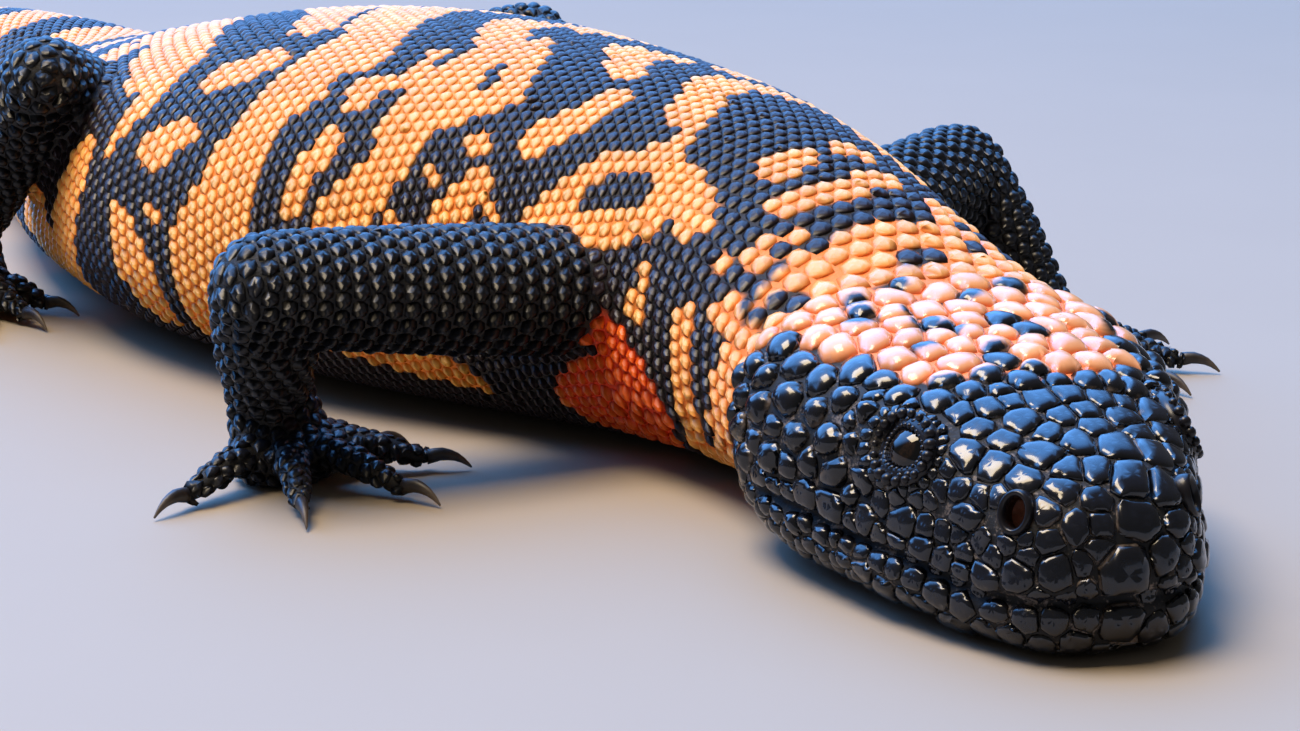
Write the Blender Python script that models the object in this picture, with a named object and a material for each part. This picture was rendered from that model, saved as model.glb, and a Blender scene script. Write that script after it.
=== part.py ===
"""Gila monster, a still life-size model of a mid-sized adult at rest on its belly.

Built in metres with +Z up. +X runs forward along the trunk, +Y is the animal's
left. The floor is z = 0 and the origin lies on it under the middle of the belly.
The head turns to the animal's right and the tail bends to its left.
"""
import math

import bmesh
import bpy
from mathutils import Matrix, Vector

MM = 0.001

# Driving dimensions, in millimetres.
JOINT_GAP = 0.3
FLOOR = 0.0
SECTION_STEPS = 144
UPPER_POWER = 2.15
LOWER_POWER = 2.7
BEAD_PITCH = 8.0
BEAD_INSET = 1.15
BEAD_RISE = 0.95
LIMB_BEAD_PITCH = 6.3
LIMB_BEAD_INSET = 0.95
LIMB_BEAD_RISE = 0.6
BELLY_COSINE = -0.62
ROOT_CLEARANCE = 3.2
BEAD_FREE_CUT = 4.8

# Body sections from the tail tip to the nape:
# name, x, y, height of the widest line, half width, rise above it, drop below it.
BODY = (
    ("tail end", -205.0, 52.0, 6.5, 2.4, 2.4, 2.4),
    ("tail dome", -201.0, 49.2, 7.6, 6.4, 6.4, 6.6),
    ("tail point", -191.0, 43.0, 9.0, 9.2, 9.2, 9.4),
    ("tail hind", -160.0, 25.5, 12.0, 12.8, 12.4, 12.5),
    ("tail fat", -124.0, 12.5, 14.2, 15.2, 15.2, 14.8),
    ("tail fore", -94.0, 8.0, 15.0, 16.8, 16.4, 15.6),
    ("vent", -72.0, 5.5, 15.4, 21.0, 16.4, 16.0),
    ("hip", -50.0, 1.0, 17.0, 27.0, 17.6, 17.8),
    ("loin", -22.0, -3.5, 19.0, 32.5, 21.5, 20.0),
    ("flank", 10.0, -5.0, 20.5, 38.0, 25.5, 21.6),
    ("rib", 42.0, -2.0, 21.0, 37.5, 26.6, 22.0),
    ("breast", 74.0, 1.5, 20.5, 30.0, 25.0, 21.0),
    ("shoulder", 97.0, 1.0, 20.0, 24.5, 22.4, 19.4),
    ("neck", 118.0, -2.4, 18.5, 21.4, 17.6, 17.2),
    ("nape", 133.8, -5.6, 16.4, 22.0, 13.4, 15.2),
)

# Lengths of trunk and tail, each between two named places on the body.
TRUNK_NODES = (
    ("tail_tip", 0.0, 47.0),
    ("tail_middle", 47.0, 88.0),
    ("tail_base", 88.0, 140.0),
    ("pelvis", 140.0, 196.0),
    ("midbody", 196.0, 254.0),
    ("chest", 254.0, 312.0),
    ("neck", 312.0, None),
)

# Head, measured back from the tip of the snout.
SNOUT_TIP = (184.5, -24.1)
HEAD_TURN = math.radians(-20.0)
HEAD_LENGTH = 54.0
HEAD_POWER = 2.5
JAW_POWER = 4.0
THROAT_POWER = 2.9
# distance back, half width, height of the crown, height of the throat
HEAD = (
    (0.0, 5.4, 13.2, 2.8),
    (1.2, 8.4, 16.2, 1.2),
    (5.0, 11.7, 19.0, 0.4),
    (12.0, 15.1, 21.4, 0.0),
    (20.0, 18.5, 24.3, 0.0),
    (30.0, 21.7, 26.2, 0.0),
    (40.0, 24.3, 27.2, 0.2),
    (48.0, 24.6, 28.4, 0.8),
    (54.0, 22.2, 29.8, 1.4),
)
# distance back and height of the line of the mouth
MOUTH = (
    (0.0, 7.0),
    (5.0, 6.6),
    (11.0, 7.0),
    (17.0, 8.0),
    (22.0, 8.2),
    (28.0, 8.6),
    (35.0, 9.0),
    (43.0, 9.1),
    (54.0, 9.2),
)
HEAD_PLATE_PITCH = 5.1
HEAD_LIP_HEIGHT = 3.4
HEAD_LIP_REACH = 40.0
HEAD_PLATE_INSET = 0.6
HEAD_PLATE_RISE = 0.55
JAW_WIDTH_RATIO = 0.965

EYE_BACK = 19.2
EYE_SIDE = 15.9
EYE_HEIGHT = 19.3
EYE_RADIUS = 3.4
EYE_DEPTH = 2.3
SOCKET_GAP = 0.3
LID_LENGTH = 4.5
LID_HEIGHT = 3.7
LID_THICKNESS = 1.0
NOSTRIL_BACK = 4.8
NOSTRIL_SIDE = 9.7
NOSTRIL_HEIGHT = 15.7
NOSTRIL_SIZE = (1.9, 1.7, 2.3)
NOSTRIL_RING = 3.6
EYE_RING = 6.6
BROW_RISE = 1.1
BROW_BACK = 20.0
BROW_REACH = 7.5

# Limbs: root inside the trunk, elbow or knee, wrist or ankle, middle of the foot,
# and the three radii from the root down.
LIMBS = {
    "right_arm": dict(
        root=(91.0, -12.0, 20.5), bend=(82.0, -61.5, 26.0), end=(71.0, -55.0, 10.0),
        radii=(8.0, 6.8, 5.0),
    ),
    "left_arm": dict(
        root=(93.0, 12.0, 22.0), bend=(80.5, 50.0, 26.0), end=(89.0, 56.0, 10.0),
        radii=(8.4, 7.2, 5.2),
    ),
    "right_leg": dict(
        root=(-42.0, -10.0, 17.0), bend=(-9.0, -41.5, 37.0), end=(-36.5, -42.5, 10.0),
        radii=(10.5, 6.2, 5.0),
    ),
    "left_leg": dict(
        root=(-46.0, 12.0, 17.0), bend=(-26.0, 55.0, 31.0), end=(-50.0, 58.0, 10.5),
        radii=(11.0, 6.8, 5.2),
    ),
}

# Hands and feet: direction of the palm, then the reach of each digit tip
# from the middle of the palm as (turn from the palm direction, length).
FEET = {
    "right_hand": dict(
        limb="right_arm", heading=8.0, digits=((86.0, 13.5), (52.0, 17.0), (10.0, 18.0),
                                              (-34.0, 17.5), (-82.0, 17.0)),
        palm=(7.4, 4.1, 7.0),
    ),
    "left_hand": dict(
        limb="left_arm", heading=18.0, digits=((-78.0, 15.0), (-42.0, 18.0), (-10.0, 18.5),
                                              (24.0, 18.0), (66.0, 16.5)),
        palm=(7.4, 4.1, 7.0),
    ),
    "right_foot": dict(
        limb="right_leg", heading=-20.0, digits=((48.0, 14.5), (24.0, 17.0), (2.0, 19.5),
                                                (-26.0, 21.0), (-64.0, 18.0)),
        palm=(7.6, 4.2, 8.5),
    ),
    "left_foot": dict(
        limb="left_leg", heading=26.0, digits=((-52.0, 14.5), (-26.0, 17.0), (-2.0, 19.5),
                                              (24.0, 21.0), (60.0, 18.0)),
        palm=(7.6, 4.2, 8.5),
    ),
}
CLAW_LENGTH = 5.6
CLAW_RADIUS = 1.15
DIGIT_SIDES = 5

COLOURS = {
    "skin_orange": ((0.86, 0.42, 0.16, 1.0), 0.45),
    "skin_black": ((0.025, 0.023, 0.028, 1.0), 0.32),
    "eye_black": ((0.006, 0.005, 0.005, 1.0), 0.05),
}


def clear_scene():
    """Start from an empty scene."""
    for item in list(bpy.data.objects):
        bpy.data.objects.remove(item, do_unlink=True)


def blend(rows, x):
    """Interpolate rows of (x, value, ...) smoothly at x."""
    last = len(rows) - 1
    x = min(max(x, rows[0][0]), rows[last][0])
    i = 0
    while i < last - 1 and rows[i + 1][0] <= x:
        i += 1
    span = rows[i + 1][0] - rows[i][0]
    t = (x - rows[i][0]) / span
    result = []
    for k in range(1, len(rows[0])):
        def slope(j):
            a = max(j - 1, 0)
            b = min(j + 1, last)
            return (rows[b][k] - rows[a][k]) / (rows[b][0] - rows[a][0])

        p0, p1 = rows[i][k], rows[i + 1][k]
        m0, m1 = slope(i) * span, slope(i + 1) * span
        result.append(
            p0 * (2 * t**3 - 3 * t**2 + 1) + m0 * (t**3 - 2 * t**2 + t)
            + p1 * (3 * t**2 - 2 * t**3) + m1 * (t**3 - t**2)
        )
    return result


def body_rows():
    """Body sections with the distance from the tail tip as the first value."""
    rows = []
    distance = 0.0
    for k, (_, x, y, z, width, rise, drop) in enumerate(BODY):
        if k:
            distance += math.hypot(x - BODY[k - 1][1], y - BODY[k - 1][2])
        rows.append((distance, x, y, z, width, rise, drop))
    return rows


BODY_ROWS = body_rows()
BODY_LENGTH = BODY_ROWS[-1][0]
HEAD_FORWARD = Vector((math.cos(HEAD_TURN), math.sin(HEAD_TURN), 0.0))
HEAD_LEFT = Vector((-math.sin(HEAD_TURN), math.cos(HEAD_TURN), 0.0))


def body_frame(distance):
    """Centre, forward direction, left direction and sizes of one body section."""
    x, y, z, width, rise, drop = blend(BODY_ROWS, distance)
    ahead = blend(BODY_ROWS, min(distance + 1.5, BODY_LENGTH))
    behind = blend(BODY_ROWS, max(distance - 1.5, 0.0))
    forward = Vector((ahead[0] - behind[0], ahead[1] - behind[1], 0.0)).normalized()
    if distance > BODY_LENGTH - 6.0:
        share = (distance - BODY_LENGTH + 6.0) / 6.0
        forward = forward.lerp(HEAD_FORWARD, min(share, 1.0)).normalized()
    left = Vector((-forward.y, forward.x, 0.0))
    return Vector((x, y, z)), forward, left, (width, rise, drop)


def section_offset(sizes, angle):
    """Sideways and upward offset on a body section; angle 0 is the top, 90 the left."""
    width, rise, drop = sizes
    c, s = math.cos(angle), math.sin(angle)
    power = 2.0 / (UPPER_POWER if c >= 0 else LOWER_POWER)
    side = width * math.copysign(abs(s) ** power, s)
    up = (rise if c >= 0 else drop) * math.copysign(abs(c) ** power, c)
    return side, up


def even_points(points, count, phase=0.0, closed=True):
    """Spread count points evenly along a polyline, shifted by phase steps."""
    chain = points + [points[0]] if closed else points
    reach = [0.0]
    for a, b in zip(chain, chain[1:]):
        reach.append(reach[-1] + (b - a).length)
    steps = count if closed else count - 1
    result = []
    for k in range(count):
        share = (k + phase) / steps
        target = (share % 1.0 if closed else share) * reach[-1]
        i = 0
        while i < len(reach) - 2 and reach[i + 1] < target:
            i += 1
        t = (target - reach[i]) / max(reach[i + 1] - reach[i], 1e-9)
        result.append(chain[i].lerp(chain[i + 1], min(max(t, 0.0), 1.0)))
    return result


def body_ring(distance, count, phase=0.0, shift=0.0, grow=0.0):
    """One ring of points round the body, moved forward by shift."""
    centre, forward, left, sizes = body_frame(distance)
    sizes = tuple(size + grow for size in sizes)
    fine = []
    for k in range(SECTION_STEPS):
        side, up = section_offset(sizes, 2.0 * math.pi * k / SECTION_STEPS)
        point = centre + left * side + Vector((0.0, 0.0, up)) + forward * shift
        point.z = max(point.z, FLOOR - grow)
        fine.append(point)
    return even_points(fine, count, phase)


def nearest_body(point):
    """Distance along the body of the section nearest to a point."""
    best = min(range(0, int(BODY_LENGTH) + 1, 2), key=lambda d: (
        Vector(blend(BODY_ROWS, d)[:2]) - point.xy).length)
    return float(best)


def inside_body(point, margin):
    """True where a point lies within the trunk grown by a margin."""
    centre, _, left, (width, rise, drop) = body_frame(nearest_body(point))
    side = (point - centre).dot(left) / (width + margin)
    up = point.z - centre.z
    up /= (rise if up > 0 else drop) + margin
    return abs(side) ** 2.2 + abs(up) ** 2.2 < 1.0


def add_ring(bm, points):
    """Add one ring of vertices."""
    return [bm.verts.new(point * MM) for point in points]


def face_outwards(bm):
    """Turn every face of a closed surface outwards."""
    bmesh.ops.recalc_face_normals(bm, faces=bm.faces[:])
    if bm.calc_volume(signed=True) < 0:
        bmesh.ops.reverse_faces(bm, faces=bm.faces[:])


def skin_rings(bm, rings, caps=True):
    """Join rings of equal length into a closed tube and return the side faces."""
    sides = []
    for a, b in zip(rings, rings[1:]):
        n = len(a)
        for k in range(n):
            sides.append(bm.faces.new((a[k], a[(k + 1) % n], b[(k + 1) % n], b[k])))
    if caps:
        bm.faces.new(rings[0])
        bm.faces.new(rings[-1])
    face_outwards(bm)
    return sides


def raise_faces(bm, faces, inset, rise):
    """Raise each face as a bead or plate of its own."""
    if faces:
        bmesh.ops.inset_individual(
            bm, faces=faces, thickness=inset * MM, depth=rise * MM, use_even_offset=True
        )


def make_object(name, bm, material):
    """Turn a mesh under construction into a named object with a material of its own."""
    mesh = bpy.data.meshes.new(name)
    bm.to_mesh(mesh)
    bm.free()
    item = bpy.data.objects.new(name, mesh)
    bpy.context.scene.collection.objects.link(item)
    colour, roughness = COLOURS[material]
    skin = bpy.data.materials.new(name + "_" + material)
    skin.use_nodes = True
    shader = skin.node_tree.nodes["Principled BSDF"]
    shader.inputs["Base Color"].default_value = colour
    shader.inputs["Roughness"].default_value = roughness
    mesh.materials.append(skin)
    return item


def apply_boolean(target, cutter, operation, solver="EXACT"):
    """Apply one Boolean with another object and remove that object."""
    cutter.hide_render = True
    cutter.display_type = "WIRE"
    for item in (target, cutter):
        bm = bmesh.new()
        bm.from_mesh(item.data)
        bmesh.ops.triangulate(bm, faces=bm.faces[:])
        bm.to_mesh(item.data)
        bm.free()
    modifier = target.modifiers.new(operation.lower(), "BOOLEAN")
    modifier.operation = operation
    modifier.solver = solver
    modifier.object = cutter
    bpy.context.view_layer.update()
    graph = bpy.context.evaluated_depsgraph_get()
    mesh = bpy.data.meshes.new_from_object(target.evaluated_get(graph))
    target.modifiers.clear()
    old = target.data
    material = old.materials[0]
    target.data = mesh
    mesh.materials.clear()
    mesh.materials.append(material)
    bpy.data.meshes.remove(old)
    bpy.data.objects.remove(cutter, do_unlink=True)


def keep_largest(item):
    """Keep only the largest connected surface of an object."""
    bm = bmesh.new()
    bm.from_mesh(item.data)
    bmesh.ops.remove_doubles(bm, verts=bm.verts[:], dist=0.0005 * MM)
    seen = set()
    groups = []
    for start in bm.verts:
        if start in seen:
            continue
        stack, group = [start], []
        seen.add(start)
        while stack:
            vert = stack.pop()
            group.append(vert)
            for edge in vert.link_edges:
                other = edge.other_vert(vert)
                if other not in seen:
                    seen.add(other)
                    stack.append(other)
        groups.append(group)
    groups.sort(key=len, reverse=True)
    loose = [vert for group in groups[1:] for vert in group]
    if loose:
        bmesh.ops.delete(bm, geom=loose, context="VERTS")
    bmesh.ops.recalc_face_normals(bm, faces=bm.faces[:])
    bm.to_mesh(item.data)
    bm.free()


def shade_smooth(item, limit=math.radians(28.0)):
    """Shade the round surface smooth and keep the edges of beads and ends sharp."""
    mesh = item.data
    mesh.polygons.foreach_set("use_smooth", [True] * len(mesh.polygons))
    mesh.set_sharp_from_angle(angle=limit)


def segment_distance(point, start, stop):
    """Distance from a point to the straight line between two joints."""
    way = stop - start
    along = min(max((point - start).dot(way) / way.length_squared, 0.0), 1.0)
    return (point - start - way * along).length


def near_limb_root(point, clearance):
    """True where a point on the trunk lies close to a limb."""
    for limb in LIMBS.values():
        root, bend, end = (Vector(limb[part]) for part in ("root", "bend", "end"))
        r0, r1, _ = limb["radii"]
        for start, stop, radius in ((root, bend, r0), (bend, end, r1 - 1.0)):
            if segment_distance(point, start, stop) < radius + clearance:
                return True
    return False


def build_trunk():
    """Neck, trunk and tail in lengths, each with its raised beads."""
    for name, start, stop in TRUNK_NODES:
        stop = BODY_LENGTH if stop is None else stop
        middle = body_ring(0.5 * (start + stop), SECTION_STEPS)
        girth = sum((a - b).length for a, b in zip(middle, middle[1:] + middle[:1]))
        count = max(8, round(girth / BEAD_PITCH))
        rows = max(2, round((stop - start) / (girth / count * 0.9)))
        bm = bmesh.new()
        rings = []
        for row in range(rows + 1):
            distance = start + (stop - start) * row / rows
            shift = 0.0
            if row == 0 and start > 0:
                shift = 0.5 * JOINT_GAP
            if row == rows:
                shift = -0.5 * JOINT_GAP
            rings.append(add_ring(bm, body_ring(distance, count, 0.5 * row, shift)))
        sides = skin_rings(bm, rings)
        raised = []
        for face in sides:
            centre = face.calc_center_median() / MM
            if face.normal.z < BELLY_COSINE or centre.z < 3.0:
                continue
            if near_limb_root(centre, ROOT_CLEARANCE):
                continue
            raised.append(face)
        raise_faces(bm, raised, BEAD_INSET, BEAD_RISE)
        item = make_object(name, bm, "skin_orange")
        shade_smooth(item)


def trunk_cutter():
    """Trunk grown by the joint gap, for cutting the roots of the limbs."""
    bm = bmesh.new()
    rings = []
    distance = 100.0
    while distance < BODY_LENGTH:
        rings.append(add_ring(bm, body_ring(distance, 48, grow=JOINT_GAP + 0.08)))
        distance += 5.0
    skin_rings(bm, rings)
    return make_object("trunk_cutter", bm, "skin_black")


def head_point(back, side, height):
    """Point of the head from the distance behind the snout, side and height."""
    base = Vector((SNOUT_TIP[0], SNOUT_TIP[1], 0.0))
    return base - HEAD_FORWARD * back + HEAD_LEFT * side + Vector((0.0, 0.0, height))


def head_outline(back, upper):
    """Fine outline of one head section on one side of the line of the mouth."""
    width, top, bottom = blend(HEAD, back)
    mouth = blend(MOUTH, back)[0] + (0.5 if upper else -0.5) * JOINT_GAP
    middle, half = 0.5 * (top + bottom), 0.5 * (top - bottom)
    share = min(max((back - 36.0) / (HEAD_LENGTH - 36.0), 0.0), 1.0)
    lower_power = JAW_POWER + (THROAT_POWER - JAW_POWER) * share
    brow = BROW_RISE * math.exp(-((back - BROW_BACK) / BROW_REACH) ** 2)
    points = []
    for k in range(SECTION_STEPS + 1):
        angle = math.pi * k / SECTION_STEPS
        c, s = math.cos(angle), math.sin(angle)
        power = 2.0 / (HEAD_POWER if c >= 0 else lower_power)
        side = width * abs(s) ** power
        up = middle + half * math.copysign(abs(c) ** power, c)
        if c > 0:
            lift = brow * math.exp(-((angle - math.radians(52.0)) / 0.22) ** 2)
            side += 0.7 * lift
            up += 0.7 * lift
        if not upper:
            side *= JAW_WIDTH_RATIO
        points.append((side, up))
    if upper:
        kept = [p for p in points if p[1] > mouth]
    else:
        kept = [p for p in points if p[1] < mouth]
    edge = mouth_side(points, mouth)
    if upper:
        kept.append((edge, mouth))
        right = [(-side, up) for side, up in kept[1:]]
        chain = kept[::-1] + right
    else:
        kept.insert(0, (edge, mouth))
        left = [(-side, up) for side, up in kept[:-1]]
        chain = kept + left[::-1]
    return [head_point(back, side, max(up, FLOOR)) for side, up in chain]


def mouth_side(points, mouth):
    """Half width of a head section at the line of the mouth."""
    for (s0, u0), (s1, u1) in zip(points, points[1:]):
        if u0 >= mouth >= u1:
            return s0 + (s1 - s0) * (u0 - mouth) / max(u0 - u1, 1e-9)
    return points[-1][0]


def head_row_points(outline, cells):
    """Points over one head section: the lip edge, the lip plates, then half plates."""
    lip = HEAD_LIP_HEIGHT * min(1.0, polyline_length(outline) / HEAD_LIP_REACH)
    trimmed = even_points(outline, 161, closed=False)
    total = polyline_length(trimmed)
    share = lip / total
    spots = [0.0] + [share + (1.0 - 2.0 * share) * k / (2 * cells) for k in range(2 * cells + 1)]
    spots.append(1.0)
    points = []
    for spot in spots:
        place = spot * (len(trimmed) - 1)
        k = min(int(place), len(trimmed) - 2)
        points.append(trimmed[k].lerp(trimmed[k + 1], place - k))
    return points


def polyline_length(points):
    """Length of a polyline."""
    return sum((a - b).length for a, b in zip(points, points[1:]))


def plate_spans(row, last, step):
    """Pairs of point numbers between which the plates of one row of the head lie."""
    inner = list(range(1, last, step))
    if row % 2:
        inner = [1] + list(range(1 + step // 2, last, step))
    if inner[-1] != last - 1:
        inner.append(last - 1)
    return [(0, 1)] + list(zip(inner, inner[1:])) + [(last - 1, last)]


def build_head_half(name, upper, cells):
    """Upper head or lower jaw as a shell of staggered plates closed along the mouth."""
    bm = bmesh.new()
    stops = [0.0, 1.3]
    while stops[-1] < HEAD_LENGTH - HEAD_PLATE_PITCH * 1.4:
        stops.append(stops[-1] + HEAD_PLATE_PITCH * (0.8 if stops[-1] < 8.0 else 1.0))
    stops.append(HEAD_LENGTH - JOINT_GAP * 0.5)
    last = 2 * cells + 2
    rings = []
    for row, back in enumerate(stops):
        points = head_row_points(head_outline(back, upper), cells)
        if 1 < row < len(stops) - 1:
            for k in range(1, last):
                ahead = -1.0 if (k + row) % 2 else 1.0
                points[k] = points[k] + HEAD_FORWARD * (ahead * HEAD_PLATE_PITCH / 9.0)
        rings.append(add_ring(bm, points))
    sides = []
    for row, (a, b) in enumerate(zip(rings, rings[1:])):
        step = 4 if stops[row + 1] < 12.0 else 2
        for start, stop in plate_spans(row, last, step):
            edge = [a[k] for k in range(start, stop + 1)]
            edge += [b[k] for k in range(stop, start - 1, -1)]
            sides.append(bm.faces.new(edge))
        bm.faces.new((a[-1], a[0], b[0], b[-1]))
    front = bm.faces.new(rings[0])
    bm.faces.new(rings[-1])
    face_outwards(bm)
    raised = [front]
    for face in sides:
        centre = face.calc_center_median() / MM
        if centre.z < 1.6 or face.normal.z < -0.8:
            continue
        if face.calc_area() < 4.0 * MM * MM or near_opening(centre):
            continue
        raised.append(face)
    raise_faces(bm, raised, HEAD_PLATE_INSET, HEAD_PLATE_RISE)
    return make_object(name, bm, "skin_black")


def near_opening(point):
    """True where a point on the head lies within an eye ring or beside a nostril."""
    for side in (-1.0, 1.0):
        if (point - head_point(EYE_BACK, side * EYE_SIDE, EYE_HEIGHT)).length < EYE_RING:
            return True
        pit = head_point(NOSTRIL_BACK, side * NOSTRIL_SIDE, NOSTRIL_HEIGHT)
        if (point - pit).length < NOSTRIL_RING:
            return True
    return False


def oval_ring(name, centre, normal, along, half_long, half_high, thickness):
    """Closed oval tube lying on the head round an opening."""
    across = normal.cross(along).normalized()
    bm = bmesh.new()
    rings = []
    turns, sides = 14, 5
    for i in range(turns):
        a = 2 * math.pi * i / turns
        radial = along * (math.cos(a) * half_long) + across * (math.sin(a) * half_high)
        outward = radial.normalized()
        ring = []
        for k in range(sides):
            b = 2 * math.pi * k / sides
            ring.append(bm.verts.new((centre + radial + outward * (thickness * math.cos(b))
                                      + normal * (thickness * math.sin(b))) * MM))
        rings.append(ring)
    for i in range(turns):
        a, b = rings[i], rings[(i + 1) % turns]
        for k in range(sides):
            bm.faces.new((a[k], a[(k + 1) % sides], b[(k + 1) % sides], b[k]))
    bmesh.ops.recalc_face_normals(bm, faces=bm.faces[:])
    return make_object(name, bm, "skin_black")


def ball(name, centre, size, material, segments=14, rings=8, turn=None):
    """Closed ellipsoid."""
    bm = bmesh.new()
    bmesh.ops.create_uvsphere(bm, u_segments=segments, v_segments=rings, radius=1.0)
    scale = Matrix.Diagonal((*[value * MM for value in size], 1.0))
    matrix = Matrix.Translation(centre * MM) @ (turn or Matrix.Identity(4)) @ scale
    bmesh.ops.transform(bm, matrix=matrix, verts=bm.verts[:])
    return make_object(name, bm, material)


def eye_frame(side):
    """Place on the head surface, outward direction and lengthwise direction of an eye."""
    place = head_point(EYE_BACK, side * EYE_SIDE, EYE_HEIGHT)
    outward = (HEAD_LEFT * side + HEAD_FORWARD * 0.25 + Vector((0.0, 0.0, 0.55))).normalized()
    along = (HEAD_FORWARD - outward * HEAD_FORWARD.dot(outward)).normalized()
    return place, outward, along


def build_head():
    """Head with lids, sockets and nostrils, the lower jaw and the two eyes."""
    head = build_head_half("head", True, 14)
    for side in (-1.0, 1.0):
        place, outward, along = eye_frame(side)
        lids = oval_ring("lids", place, outward, along, LID_LENGTH, LID_HEIGHT, LID_THICKNESS)
        apply_boolean(head, lids, "UNION")
        centre = place - outward * EYE_DEPTH
        size = (EYE_RADIUS + SOCKET_GAP,) * 3
        apply_boolean(head, ball("socket", centre, size, "skin_black"), "DIFFERENCE")
        pit = head_point(NOSTRIL_BACK, side * NOSTRIL_SIDE, NOSTRIL_HEIGHT)
        turn = Matrix.Rotation(HEAD_TURN + side * math.radians(38.0), 4, "Z")
        nostril = ball("nostril", pit, NOSTRIL_SIZE, "skin_black", 10, 6, turn)
        apply_boolean(head, nostril, "DIFFERENCE")
    keep_largest(head)
    shade_smooth(head)
    jaw = build_head_half("lower_jaw", False, 8)
    shade_smooth(jaw)
    for label, side in (("eye_right", -1.0), ("eye_left", 1.0)):
        place, outward, _ = eye_frame(side)
        eye = ball(label, place - outward * EYE_DEPTH, (EYE_RADIUS,) * 3, "eye_black")
        shade_smooth(eye, math.radians(60.0))


def tube_rings(bm, path, radii, sides, stagger=True):
    """Rings square to a path, with one radius for each point of it."""
    rings = []
    normal = None
    for i, point in enumerate(path):
        ahead = path[min(i + 1, len(path) - 1)]
        behind = path[max(i - 1, 0)]
        tangent = (ahead - behind).normalized()
        if normal is None:
            normal = tangent.cross(Vector((0.0, 0.0, 1.0)))
            if normal.length < 0.2:
                normal = tangent.cross(Vector((1.0, 0.0, 0.0)))
        normal = (normal - tangent * normal.dot(tangent)).normalized()
        other = tangent.cross(normal)
        ring = []
        for k in range(sides):
            a = 2 * math.pi * (k + 0.5 * (i % 2) * stagger) / sides
            offset = (normal * math.cos(a) + other * math.sin(a)) * radii[i]
            ring.append(bm.verts.new((point + offset) * MM))
        rings.append(ring)
    return rings


def limb_tube(bm, start, stop, radii, sides, rounded):
    """Tapered tube between two joints, rounded over at its far end if asked."""
    reach = (stop - start).length
    way = (stop - start).normalized()
    taper = [(k / (len(radii) - 1), radius) for k, radius in enumerate(radii)]
    girth = 2 * math.pi * sum(radii) / len(radii)
    rows = max(2, round(reach / (girth / sides)))
    path = [start + way * (reach * k / rows) for k in range(rows + 1)]
    sizes = [blend(taper, k / rows)[0] for k in range(rows + 1)]
    if rounded:
        for turn in (math.radians(34.0), math.radians(60.0), math.radians(80.0)):
            path.append(stop + way * radii[-1] * math.sin(turn))
            sizes.append(radii[-1] * math.cos(turn))
    return skin_rings(bm, tube_rings(bm, path, sizes, sides))


def limb_length(name, start, stop, radii, above, cutters):
    """One length of a limb with its raised beads, cut clear of its neighbours."""
    girth = 2 * math.pi * sum(radii) / len(radii)
    sides = max(8, round(girth / LIMB_BEAD_PITCH))
    bm = bmesh.new()
    faces = limb_tube(bm, start, stop, radii, sides, above is None)
    raised = []
    for face in faces:
        centre = face.calc_center_median() / MM
        if inside_body(centre, 4.0) or face.calc_area() < 9.0 * MM * MM:
            continue
        if above and segment_distance(centre, above, start) < radii[0] + BEAD_FREE_CUT:
            continue
        raised.append(face)
    raise_faces(bm, raised, LIMB_BEAD_INSET, LIMB_BEAD_RISE)
    item = make_object(name, bm, "skin_black")
    for cutter in cutters:
        apply_boolean(item, cutter, "DIFFERENCE")
        keep_largest(item)
    shade_smooth(item)


def limb_cutter(start, stop, radii, grow):
    """Upper length of a limb grown all round, for cutting the top of the lower one."""
    bm = bmesh.new()
    larger = [radius + grow for radius in radii]
    limb_tube(bm, start, stop, larger, 18, True)
    return make_object("limb_cutter", bm, "skin_black")


def digit_points(start, tip):
    """Arched path of a digit and its claw, and the radius at each point."""
    reach = tip - start
    flat = Vector((reach.x, reach.y, 0.0))
    path, radii = [], []
    for t, height, radius in (
        (0.0, start.z, 2.8), (0.4, start.z + 0.2, 2.7), (0.85, 1.8, 2.2), (1.0, 1.75, 1.7),
    ):
        point = start + flat * t
        point.z = height
        path.append(point)
        radii.append(radius)
    ahead = flat.normalized()
    for t, height, radius in (
        (0.02, 1.8, CLAW_RADIUS), (0.5, 1.65, CLAW_RADIUS * 0.7), (1.0, 0.35, 0.14),
    ):
        point = tip + ahead * (0.25 + t * CLAW_LENGTH)
        point.z = height
        path.append(point)
        radii.append(radius)
    return path, radii


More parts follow.
